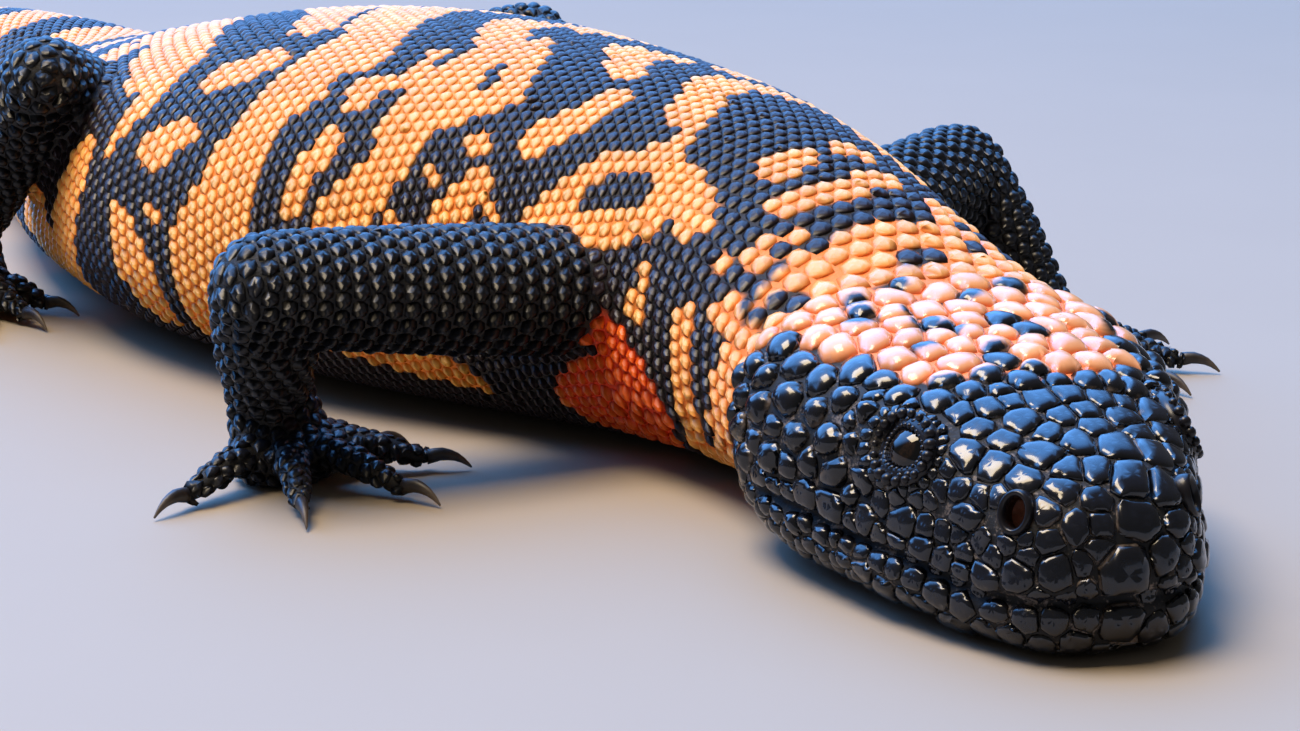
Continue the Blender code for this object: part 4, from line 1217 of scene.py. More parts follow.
    # rows that run round the animal

    def body_rows(self) -> None:
        """Rows of beads round tail, trunk and neck, each set half a bead on from the last."""
        spine = self.spine
        reach, row = 1.6, 0
        while reach < self.head_start - 0.5:
            half = spine.half_round(np.array([reach]))[0]
            grid = np.linspace(0.0, half, 400)
            local = self.row_pitch(np.full(400, reach), grid / half)
            count = np.concatenate([[0.0], np.cumsum(np.diff(grid) / local[1:])])
            marks = np.arange(math.floor(count[-1]) + 1) + 0.5 * (row % 2)
            marks = marks[marks < count[-1] - 0.2]
            arcs = np.interp(marks, count, grid)
            arcs = np.concatenate([arcs, -arcs[arcs > 0.1]])
            points, along = spine.row_points(reach, arcs)
            points = points + self.draw.normal(0.0, 0.045 * local[0], points.shape)
            low = np.abs(arcs) / half
            form = np.where(low > self.belly_low, Form.BELLY.value, Form.BEAD.value)
            good = (reach < self.throat_start) | (low < self.throat_low)
            pitch = self.row_pitch(np.full(len(arcs), reach), low)
            self.sites.add(points[good], along[good], pitch[good], form[good])
            reach += local[120] * self.row_step
            row += 1

    def limb_rows(self) -> None:
        """Rows of beads round each limb."""
        for number, limb in enumerate(self.skin.limbs):
            row = 0
            for start, stop, first, last in limb.lengths():
                span = np.linalg.norm(stop - start)
                way = (stop - start) / span
                side = unit(np.cross(way, UP if abs(way[2]) < 0.8 else limb.direction()))
                rise = np.cross(side, way)
                for reach in np.arange(0.0, span + 0.4 * last, self.limb_pitch * 0.95):
                    radius = first + (last - first) * min(reach / span, 1.0)
                    count = max(6, round(2.0 * math.pi * radius / (self.limb_pitch * 0.95)))
                    turns = circle(count, 0.5 * (row % 2))
                    points = (start + way * reach + np.outer(radius * np.cos(turns), side)
                              + np.outer(radius * np.sin(turns), rise))
                    points = points + self.draw.normal(0.0, 0.07, points.shape)
                    self.sites.add(points, way, self.limb_pitch, Form.LIMB.value, limb=number)
                    row += 1

    # evening out

    def settle(self) -> None:
        """Move every place on to the skin and drop those that lie buried in it."""
        sites = self.sites
        places, _, gaps = self.skin.project(sites.place)
        _, _, limb = self.pitch_at(self.spine.survey(places))
        buried = (gaps > 1.5) & ~sites.fixed
        wrong = ((sites.limb >= 0) & (limb < 0)) | ((sites.limb < 0) & (limb >= 0))
        low = (places[:, 2] < 0.9) & (sites.form != Form.BELLY.value)
        opened = self.inside_openings(places)
        sites.place = places
        sites.keep(sites.fixed | ~(buried | wrong | low | opened))

    def thin_out(self) -> None:
        """Drop places that crowd another one."""
        sites = self.sites
        tree = tree_of(sites.place)
        alive = np.ones(len(sites.place), bool)
        for k in np.argsort(~sites.fixed, kind="stable"):
            reach = 0.8 * sites.pitch[k] if alive[k] else 0.0
            for _, other, gap in tree.find_range(sites.place[k].tolist(), reach):
                room = self.crowding * (sites.pitch[k] + sites.pitch[other])
                if alive[k] and other != k and not sites.fixed[other] and gap < room:
                    alive[other] = False
        sites.keep(alive)

    def fill(self) -> None:
        """Add scales wherever the skin is still bare."""
        skin, sites = self.skin, self.sites
        pitch, form, limb = self.pitch_at(skin.spot)
        open_skin = ~self.inside_openings(skin.points, 0.6)
        open_skin &= (skin.points[:, 2] > 0.5) | (skin.normals[:, 2] > -0.6)
        index, gap = nearest_of(tree_of(sites.place), skin.points, 1)
        bare = open_skin & (gap[:, 0] > 0.4 * (pitch + sites.pitch[index[:, 0]]))
        pool = np.where(bare)[0]
        self.draw.shuffle(pool)
        added: List[int] = []
        places = np.zeros((0, 3))
        room = np.zeros(0)
        for k in pool:
            near = np.linalg.norm(places - skin.points[k], axis=1)
            if (near < self.fill_room * (room + pitch[k])).any():
                continue
            added.append(k)
            places = np.concatenate([places, skin.points[k:k + 1]])
            room = np.concatenate([room, pitch[k:k + 1]])
        forward = self.forward_at(skin.spot.reach[added], limb[added])
        sites.add(places, forward, room, form[added], limb=limb[added])
        LOG.info("fill added %d scales", len(added))

    def forward_at(self, reach: Array, limb: Array) -> Array:
        """Direction along the animal or limb at points."""
        row = np.clip(np.round(reach).astype(int), 0, len(self.spine.ways) - 1)
        ways = self.spine.ways[row].copy()
        for number, item in enumerate(self.skin.limbs):
            ways[limb == number] = item.direction()
        return ways

    def relax(self, rounds: int) -> None:
        """Even out the spacing of the scales that may move."""
        sites = self.sites
        for _ in range(rounds):
            index, gap = nearest_of(tree_of(sites.place), sites.place, 9)
            index, gap = index[:, 1:], gap[:, 1:]
            offset = sites.place[:, None, :] - sites.place[index]
            want = 0.5 * (sites.pitch[:, None] + sites.pitch[index])
            push = np.clip((want - gap) / want, 0.0, 0.6)
            move = (offset / np.maximum(gap, 1e-6)[:, :, None] * push[:, :, None]).sum(axis=1)
            move = move * 0.3 * sites.pitch[:, None]
            move[sites.fixed] = 0.0
            sites.place, _, _ = self.skin.project(sites.place + move)
        _, gap = nearest_of(tree_of(self.barriers), sites.place, 1)
        crowded = (gap[:, 0] < 0.22 * sites.pitch) | self.inside_openings(sites.place, 0.2)
        sites.keep(sites.fixed | ~crowded)


class Coat:
    """Builds the scales as closed domes joined into one mesh for each region."""

    segments = 10
    fine_segments = 18
    rings = (0.84, 0.46)
    fine_rings = (0.93, 0.8, 0.56, 0.28)
    # least and most reach of a scale over its pitch, depth of its foot, size on the map
    least = 0.16
    most = 0.78
    sink = 0.45
    patch = 0.0015

    def __init__(self, skin: Skin, layout: Layout, markings: Markings) -> None:
        """Work out the frame, colour and region of every scale."""
        self.skin, self.spine, self.layout, self.markings = skin, skin.spine, layout, markings
        self.sites = layout.sites
        self.draw = np.random.default_rng(9)
        self.place, normals, _ = skin.project(self.sites.place)
        self.normal = self.smooth_normals(self.place, normals)
        lift = (self.sites.along * self.normal).sum(1)[:, None]
        self.along = unit(self.sites.along - self.normal * lift)
        self.across = np.cross(self.normal, self.along)
        self.spot = self.spine.survey(self.place)
        limb = self.sites.limb >= 0
        self.depth = markings.light(self.spine, self.spot, limb)
        self.light, self.dark = markings.paint(self.spot, limb)
        self.regions = self.region_of()
        self.tree = tree_of(self.place)
        self.barrier_tree = tree_of(layout.barriers)

    def smooth_normals(self, places: Array, normals: Array) -> Array:
        """Average each normal over the footprint of its scale."""
        total = normals * 1.5
        helper = unit(np.cross(normals, np.tile([0.3, 0.5, 0.81], (len(normals), 1))))
        other = np.cross(normals, helper)
        for turn in np.linspace(0.0, 2.0 * np.pi, 6, endpoint=False):
            spot = places + (helper * math.cos(turn) + other * math.sin(turn)) * (
                0.42 * self.sites.pitch[:, None])
            total = total + self.skin.project(spot)[1]
        return unit(total)

    def region_of(self) -> Array:
        """Name of the joined mesh that each scale belongs to."""
        reach = self.spot.reach
        names = np.full(len(reach), Region.TAIL_END.value, dtype=object)
        for start, region in REGION_STARTS:
            names[reach >= start] = region.value
        back, _, height = self.spine.head_coordinates(self.place)
        upper = height > self.spine.mouth_height(back)
        on_head = reach >= Layout.head_start
        names[on_head & upper] = Region.HEAD.value
        names[on_head & ~upper] = Region.JAW.value
        for number, region in enumerate(LIMB_REGIONS):
            names[self.sites.limb == number] = region.value
        return names

    def profile(self, chosen: Array, key: str) -> Array:
        """One number of the profile of each chosen scale, as a column."""
        return np.array([[getattr(PROFILES[Form(f)], key)] for f in self.sites.form[chosen]])

    def outlines(self, chosen: Array, segments: int) -> Tuple[Array, Array]:
        """Reach of each chosen scale in each direction, up to its neighbours.

        Args:
            chosen: Numbers of the scales.
            segments: Directions round a scale.

        Returns:
            Reach in millimetres at the foot and the rounder reach at the top.
        """
        sites = self.sites
        index, gap = nearest_of(self.tree, self.place[chosen], 15)
        index, gap = index[:, 1:], gap[:, 1:]
        pitch = sites.pitch[chosen][:, None]
        corners = self.profile(chosen, "corner"), self.profile(chosen, "soft")
        groove = self.profile(chosen, "gap") * pitch
        turns = circle(segments)
        compass = np.stack([np.cos(turns), np.sin(turns)])
        share = pitch / (pitch + sites.pitch[index])
        wall = self.closeness(chosen, self.place[index], gap, share)
        near, near_gap = nearest_of(self.barrier_tree, self.place[chosen], 6)
        rim = self.closeness(chosen, self.layout.barriers[near], near_gap, 0.97)
        rim[near_gap > 1.4 * pitch] = 0.0
        facing = np.einsum("nkc,cs->nks", np.concatenate([wall, rim], axis=1), compass)
        facing = np.maximum(facing, 0.0)
        reaches = []
        for power in corners:
            inverse = (facing ** power[:, :, None]).sum(axis=1) ** (1.0 / power)
            reach = 1.0 / np.maximum(inverse, 1e-3) - 0.5 * groove
            reaches.append(np.clip(reach, self.least * pitch, self.most * pitch))
        return reaches[0], reaches[1]

    def closeness(self, chosen: Array, others: Array, gap: Array, share: object) -> Array:
        """Directions to neighbours on the tangent plane, longer the nearer they are."""
        offset = others - self.place[chosen][:, None, :]
        flat = np.stack([(offset * self.along[chosen][:, None, :]).sum(2),
                         (offset * self.across[chosen][:, None, :]).sum(2)], axis=2)
        return unit(flat) / np.maximum(gap * share, 0.05)[:, :, None]

    @staticmethod
    def dome(segments: int, rings: Sequence[float]) -> Tuple[Array, Array, Array, List[List[int]]]:
        """One closed dome made with operators, read as direction, reach and foot flag.

        Args:
            segments: Points in a ring.
            rings: Reach of each ring above the foot.

        Returns:
            Direction number, reach and foot flag of each point, and the faces.
        """
        bm = bmesh.new()
        bmesh.ops.create_circle(bm, cap_ends=True, segments=segments, radius=1.0)
        lid = bm.faces[:]
        raised = bmesh.ops.extrude_face_region(bm, geom=lid, use_keep_orig=True)["geom"]
        top = next(item for item in raised if isinstance(item, BMFace))
        bmesh.ops.translate(bm, verts=top.verts[:], vec=(0.0, 0.0, 1.0))
        for reach in rings:
            inner = bmesh.ops.extrude_face_region(bm, geom=[top])["geom"]
            fresh = next(item for item in inner if isinstance(item, BMFace))
            now = max(vert.co.xy.length for vert in fresh.verts)
            bmesh.ops.scale(bm, verts=fresh.verts[:], vec=(reach / now, reach / now, 1.0))
            bmesh.ops.delete(bm, geom=[top] if top.is_valid else [], context="FACES_ONLY")
            top = fresh
        bmesh.ops.poke(bm, faces=[top])
        bmesh.ops.recalc_face_normals(bm, faces=bm.faces)
        bm.verts.ensure_lookup_table()
        flat = np.array([vert.co for vert in bm.verts])
        turn = np.arctan2(flat[:, 1], flat[:, 0])
        direction = np.round(turn / (2.0 * np.pi / segments)).astype(int) % segments
        faces = [[vert.index for vert in face.verts] for face in bm.faces]
        bm.free()
        return direction, np.hypot(flat[:, 0], flat[:, 1]), flat[:, 2] < 0.5, faces

    def build(self) -> List[Object]:
        """Make every region's mesh."""
        pieces = []
        for region in Region:
            chosen = np.where(self.regions == region.value)[0]
            fine = region in (Region.HEAD, Region.JAW)
            segments = self.fine_segments if fine else self.segments
            rings = self.fine_rings if fine else self.rings
            pieces.append(self.joined(region.value, chosen, segments, rings))
        return pieces

    def joined(self, name: str, chosen: Array, segments: int, rings: Sequence[float]) -> Object:
        """Join the domes of the chosen scales into one mesh with colours and a map."""
        direction, share, foot, faces = self.dome(segments, rings)
        sharp, soft = self.outlines(chosen, segments)
        turns = 2.0 * np.pi * direction / segments
        count, size = len(chosen), len(direction)
        pitch = self.sites.pitch[chosen]
        spread = share * (sharp[:, direction] * share**2 + soft[:, direction] * (1.0 - share**2))
        flat = (self.place[chosen][:, None, :]
                + self.along[chosen][:, None, :] * (np.cos(turns) * spread)[:, :, None]
                + self.across[chosen][:, None, :] * (np.sin(turns) * spread)[:, :, None])
        ground, _, gaps = self.skin.project(flat.reshape(-1, 3))
        slack = np.clip(gaps.reshape(count, size) / pitch[:, None] * 3.0, 0.0, 1.0)[:, :, None]
        ground = ground.reshape(count, size, 3) * (1.0 - slack) + flat * slack
        rise = self.profile(chosen, "height")[:, 0] * pitch * self.draw.uniform(0.86, 1.12, count)
        swell, edge = self.profile(chosen, "swell"), self.profile(chosen, "edge")
        shape = np.maximum(1.0 - share**swell, 0.0) ** edge
        height = np.where(foot, -self.sink, rise[:, None] * (0.04 + 0.96 * shape))
        points = ground + self.normal[chosen][:, None, :] * height[:, :, None]
        points[:, :, 2] = np.maximum(points[:, :, 2], 0.06)
        loops = np.concatenate([np.array(face) for face in faces])
        mesh = self.repeated(name, points, loops, np.array([len(face) for face in faces]))
        self.paint(mesh, chosen, points, shape, foot)
        self.unwrap(mesh, chosen, turns, share, loops)
        mesh.validate()
        LOG.info("%s: %d scales", name, count)
        return linked(name, mesh)

    @staticmethod
    def repeated(name: str, points: Array, loops: Array, lengths: Array) -> Mesh:
        """One mesh from many copies of a shape.

        Args:
            name: Name of the mesh.
            points: Points of each copy.
            loops: Corners of the shape's faces, one after another.
            lengths: Corners in each of those faces.

        Returns:
            The mesh.
        """
        count, size = points.shape[:2]
        mesh = bpy.data.meshes.new(name)
        mesh.vertices.add(count * size)
        mesh.vertices.foreach_set("co", (points * MM).ravel())
        shift = (np.arange(count) * size)[:, None]
        mesh.loops.add(count * len(loops))
        mesh.loops.foreach_set("vertex_index", (loops[None, :] + shift).ravel())
        mesh.polygons.add(count * len(lengths))
        starts = np.concatenate([[0], np.cumsum(lengths)[:-1]])
        starts = (starts[None, :] + (np.arange(count) * len(loops))[:, None]).ravel()
        mesh.polygons.foreach_set("loop_start", starts)
        mesh.polygons.foreach_set("use_smooth", np.ones(count * len(lengths), bool))
        mesh.update(calc_edges=True)
        return mesh

    def paint(self, mesh: Mesh, chosen: Array, points: Array, shape: Array, foot: Array) -> None:
        """Store the colour, rise, gloss and a random number of each scale as attributes."""
        count, size = points.shape[:2]
        tone = self.draw.uniform(0.84, 1.06, count)[:, None, None]
        depth = self.depth[chosen]
        share = np.repeat((depth > 0)[:, None].astype(float), size, axis=1)
        split = np.where((np.abs(depth) < 0.9) & (self.spot.reach[chosen] > 340.0)
                         & (self.draw.uniform(0.0, 1.0, count) < 0.6))[0]
        if len(split):
            flat = points[split].reshape(-1, 3)
            spot = self.spine.survey(flat)
            inner = self.markings.light(self.spine, spot, np.zeros(len(flat), bool))
            share[split] = smoothstep(-0.3, 0.3, inner).reshape(len(split), size)
        share = share[:, :, None]
        colour = np.ones((count, size, 4))
        colour[:, :, :3] = tone * (self.light[chosen][:, None, :] * share
                                   + self.dark[chosen][:, None, :] * (1.0 - share))
        store_tint(mesh, np.clip(colour, 0.0, 1.0))
        # the rise also sets the scale finish's painted shade at the foot and painted highlight at
        # the crest
        store(mesh, "rise", np.where(foot, 0.0, shape) * np.ones((count, 1)))
        store(mesh, "own", np.repeat(self.draw.uniform(0.0, 1.0, count), size))
        gloss = np.where(self.sites.limb[chosen] >= 0, 0.4,
                         0.28 + 0.72 * smoothstep(346.0, 360.0, self.spot.reach[chosen]))
        store(mesh, "gloss", np.repeat(gloss, size))

    def unwrap(self, mesh: Mesh, chosen: Array, turns: Array, share: Array, loops: Array) -> None:
        """Give each scale a small patch at its root's place on an unwrap of the skin."""
        number = self.sites.limb[chosen]
        across = 0.5 + 0.48 * (self.spot.arc / self.spot.half)[chosen]
        lengthwise = self.spot.reach[chosen].copy()
        for k, limb in enumerate(self.skin.limbs):
            mine = number == k
            if mine.any():
                lengthwise[mine], across[mine] = self.limb_map(limb, self.place[chosen][mine])
        low, high = lengthwise.min(), lengthwise.max()
        along = 0.01 + 0.98 * (lengthwise - low) / max(high - low, 1e-6)
        patch = np.stack([np.cos(turns), np.sin(turns)], axis=1) * share[:, None] * self.patch
        spots = np.stack([along, across], axis=1)[:, None, :] + patch[None, :, :]
        layer = mesh.uv_layers.new(name="OFBake")
        layer.data.foreach_set("uv", spots[:, loops, :].ravel())

    @staticmethod
    def limb_map(limb: Limb, points: Array) -> Tuple[Array, Array]:
        """Distance along a limb and turn round it, for its unwrap."""
        best = np.full(len(points), 1e6)
        along = np.zeros(len(points))
        around = np.zeros(len(points))
        start_reach = 0.0
        lengths = [(a, b) for a, b, _, _ in limb.lengths()]
        lengths.append((np.array(limb.end), limb.palm_middle() + limb.direction() * 20.0))
        for start, stop in lengths:
            way = stop - start
            span = np.linalg.norm(way)
            t = np.clip((points - start) @ way / span**2, 0.0, 1.0)
            offset = points - start - np.outer(t, way)
            gap = np.linalg.norm(offset, axis=1)
            side = unit(np.cross(way, UP + 0.01))
            rise = np.cross(side, way / span)
            turn = np.arctan2(offset @ rise, offset @ side) / (2.0 * np.pi) + 0.5
            mine = gap < best
            best = np.minimum(best, gap)
            along = np.where(mine, start_reach + t * span, along)
            around = np.where(mine, 0.02 + 0.96 * turn, around)
            start_reach += span
        return along, around


# ----- finishes


class Shade:
    """A shader socket that takes part in arithmetic."""

    def __init__(self, maker: "Maker", socket: Optional[NodeSocket]) -> None:
        """Wrap one output socket."""
        self.maker, self.socket = maker, socket

    def _math(self, operation: str, *values: object) -> "Shade":
        """Add a Math node for an operation."""
        return self.maker.node("ShaderNodeMath", {"operation": operation}, dict(enumerate(values)))

    def __add__(self, other: object) -> "Shade":
        """Sum."""
        return self._math("ADD", self, other)

    __radd__ = __add__

    def __sub__(self, other: object) -> "Shade":
        """Difference."""
        return self._math("SUBTRACT", self, other)

    def __rsub__(self, other: object) -> "Shade":
        """Difference from a number."""
        return self._math("SUBTRACT", other, self)

    def __mul__(self, other: object) -> "Shade":
        """Product."""
        return self._math("MULTIPLY", self, other)

    __rmul__ = __mul__

    def ramp(self, low: float, high: float) -> "Shade":
        """Ease from 0 at low to 1 at high."""
        return self.maker.node(
            "ShaderNodeMapRange", {"interpolation_type": "SMOOTHSTEP", "clamp": True},
            {"Value": self, "From Min": low, "From Max": high, "To Min": 0.0, "To Max": 1.0},
        )


class Maker:
    """Builds the nodes of one material, or of the surroundings."""

    def __init__(self, name: str, world: Optional[World] = None) -> None:
        """Start with an empty node tree."""
        self.holder = world or bpy.data.materials.new(name)
        self.holder.use_nodes = True
        self.tree = self.holder.node_tree
        self.tree.nodes.clear()

    def node(self, kind: str, settings: Optional[Dict[str, object]] = None,
             inputs: Optional[Dict[object, object]] = None, output: object = 0) -> Shade:
        """Add a node.

        Args:
            kind: Type of the node.
            settings: Properties set first.
            inputs: Values or links by socket name or number.
            output: Socket that is returned.

        Returns:
            The wrapped output socket, empty for a node that has none.
        """
        made = self.tree.nodes.new(kind)
        for key, value in (settings or {}).items():
            setattr(made, key, value)
        for key, value in (inputs or {}).items():
            socket = made.inputs[key]
            if isinstance(value, Shade):
                self.tree.links.new(value.socket, socket)
            else:
                socket.default_value = value
        return Shade(self, made.outputs[output] if made.outputs else None)

    def mix(self, share: object, first: object, second: object, kind: str = "MIX") -> Shade:
        """Blend two colours."""
        first, second = (
            (*value, 1.0) if isinstance(value, tuple) and len(value) == 3 else value
            for value in (first, second)
        )
        settings = {"data_type": "RGBA", "blend_type": kind, "clamp_factor": True}
        return self.node("ShaderNodeMix", settings, {0: share, 6: first, 7: second}, 2)

    def place(self) -> Shade:
        """Object coordinates."""
        return self.node("ShaderNodeTexCoord", output="Object")

    def noise(self, size: float, detail: float = 3.0, rough: float = 0.5,
              warp: float = 0.0) -> Shade:
        """Noise whose cells are about size millimetres."""
        return self.node(
            "ShaderNodeTexNoise", {"noise_dimensions": "3D"},
            {"Vector": self.place(), "Scale": 1000.0 / size, "Detail": detail,
             "Roughness": rough, "Distortion": warp},
        )

    def attribute(self, name: str, output: str = "Fac") -> Shade:
        """Value stored in the mesh."""
        return self.node("ShaderNodeAttribute", {"attribute_name": name}, output=output)

    def bump(self, height: Shade, strength: float, distance: float) -> Shade:
        """Bump in millimetres."""
        inputs = {"Height": height, "Strength": strength, "Distance": distance * MM}
        return self.node("ShaderNodeBump", None, inputs)

    def surface(self, **inputs: object) -> Material:
        """Principled shader with the given sockets, joined to the output."""
        named = {key.replace("_", " "): value for key, value in inputs.items()}
        shader = self.node("ShaderNodeBsdfPrincipled", None, named)
        self.node("ShaderNodeOutputMaterial", None, {"Surface": shader})
        return self.holder


@dataclass(frozen=True)
class ScaleFinish:
    """Horn of the beads and plates, coloured by their markings and glossiest on the head, with
    painted shade at each scale's foot and a painted bluish highlight on its crest.
    """

    name: str = "beaded_scale"
    rough: float = 0.34
    worn: float = 0.10
    dust: Triple = (0.40, 0.31, 0.25)
    dust_share: float = 0.5

    def make(self) -> Material:
        """Build the material."""
        m = Maker(self.name)
        tint = m.attribute("tint", "Color")
        rise = m.attribute("rise")
        own = m.attribute("own")
        gloss = m.attribute("gloss")
        cloud = m.noise(1.6, 4.0, 0.6)
        fine = m.noise(0.28, 3.0, 0.6)
        broad = m.noise(9.0, 2.0)
        # painted shade: the tint multiplied with itself darkens and deepens the foot of each
        # scale, where shade falls between the scales
        foot = m.mix(0.7, tint, tint, "MULTIPLY")
        # painted highlight: the top of each scale is lightened and turned bluish, standing in for
        # a reflection of the blue glow
        painted_crest_highlight = m.mix(rise.ramp(0.62, 1.0) * (0.3 + own * 0.35), tint, m.mix(
            1.0, tint, (1.04, 1.25, 1.6), "MULTIPLY"))
        # blend from the painted foot shade to the painted crest highlight along the rise of the
        # scale
        deep = m.mix(rise.ramp(0.0, 0.72), foot, painted_crest_highlight)
        speck = (cloud + own * 0.3).ramp(0.52, 0.86)
        shaded = m.mix(speck * 0.2, deep, m.mix(1.0, deep, (0.62, 0.5, 0.45), "MULTIPLY"))
        dusty = (1.0 - rise.ramp(0.02, 0.5)) * (broad * 0.6 + cloud * 0.6).ramp(0.62, 0.78)
        dusty = dusty * gloss.ramp(0.5, 1.0)
        colour = m.mix(dusty * self.dust_share, shaded, self.dust)
        rough = self.rough - gloss * 0.22 + fine * 0.1 + speck * self.worn + dusty * 0.35
        normal = m.bump(fine * 0.35 + cloud * 0.65, 0.22, 0.06)
        return m.surface(Base_Color=colour, Roughness=rough, Normal=normal, Specular_IOR_Level=0.3,
                         Coat_Weight=gloss.ramp(0.3, 1.0) * 0.5, Coat_Roughness=0.08, Coat_IOR=1.5)


@dataclass(frozen=True)
class SkinFinish:
    """Dull soft skin between the scales, with dry flakes in its folds, darkened as painted shade
    in the gaps.
    """

    name: str = "soft_skin"
    flake: Triple = (0.42, 0.33, 0.27)

    def make(self) -> Material:
        """Build the material."""
        m = Maker(self.name)
        tint = m.attribute("tint", "Color")
        grain = m.noise(0.5, 4.0, 0.65)
        cloud = m.noise(3.0, 3.0)
        flakes = (grain * 0.55 + cloud * 0.55).ramp(0.58, 0.7)
        dry = m.attribute("dry")
        # painted shade: the tint multiplied with itself darkens the skin in the gaps between the
        # scales; the pale flakes are dry skin
        colour = m.mix(flakes * dry, m.mix(0.75, tint, tint, "MULTIPLY"), self.flake)
        normal = m.bump(grain, 0.6, 0.2)
        return m.surface(Base_Color=colour, Roughness=0.62 + grain * 0.2, Normal=normal)


@dataclass(frozen=True)
class EyeFinish:
    """Black glossy eye with a dark brown iris."""

    name: str = "eye_black"

    def make(self) -> Material:
        """Build the material."""
        m = Maker(self.name)
        ring = m.attribute("iris")
        fibres = m.noise(0.5, 3.0, 0.6, 1.0)
        iris = m.mix(fibres.ramp(0.35, 0.7), (0.006, 0.004, 0.003), (0.022, 0.012, 0.007))
        colour = m.mix(ring, (0.003, 0.003, 0.003), iris)
        return m.surface(Base_Color=colour, Roughness=0.05, Specular_IOR_Level=0.5)


@dataclass(frozen=True)
class ClawFinish:
    """Dark horn that wears paler towards the tip."""

    name: str = "claw_horn"

    def make(self) -> Material:
        """Build the material."""
        m = Maker(self.name)
        tip = m.attribute("tip")
        streak = m.noise(0.9, 3.0, 0.6, 0.6)
        worn = (tip + streak * 0.5 - 0.3).ramp(0.3, 1.0)
        colour = m.mix(worn, (0.016, 0.012, 0.011), (0.12, 0.09, 0.065))
        normal = m.bump(streak, 0.3, 0.08)
        return m.surface(Base_Color=colour, Roughness=0.38 + streak * 0.2, Normal=normal)


@dataclass(frozen=True)
class FloorFinish:
    """Plain pale matt floor."""

    name: str = "pale_floor"
    colour: Triple = (0.37, 0.305, 0.235)

    def make(self) -> Material:
        """Build the material."""
        m = Maker(self.name)
        soft = m.noise(60.0, 3.0)
        shade = tuple(value * 0.93 for value in self.colour)
        colour = m.mix(soft, shade, self.colour)
        return m.surface(Base_Color=colour, Roughness=0.85)


# ----- eyes, lids and claws


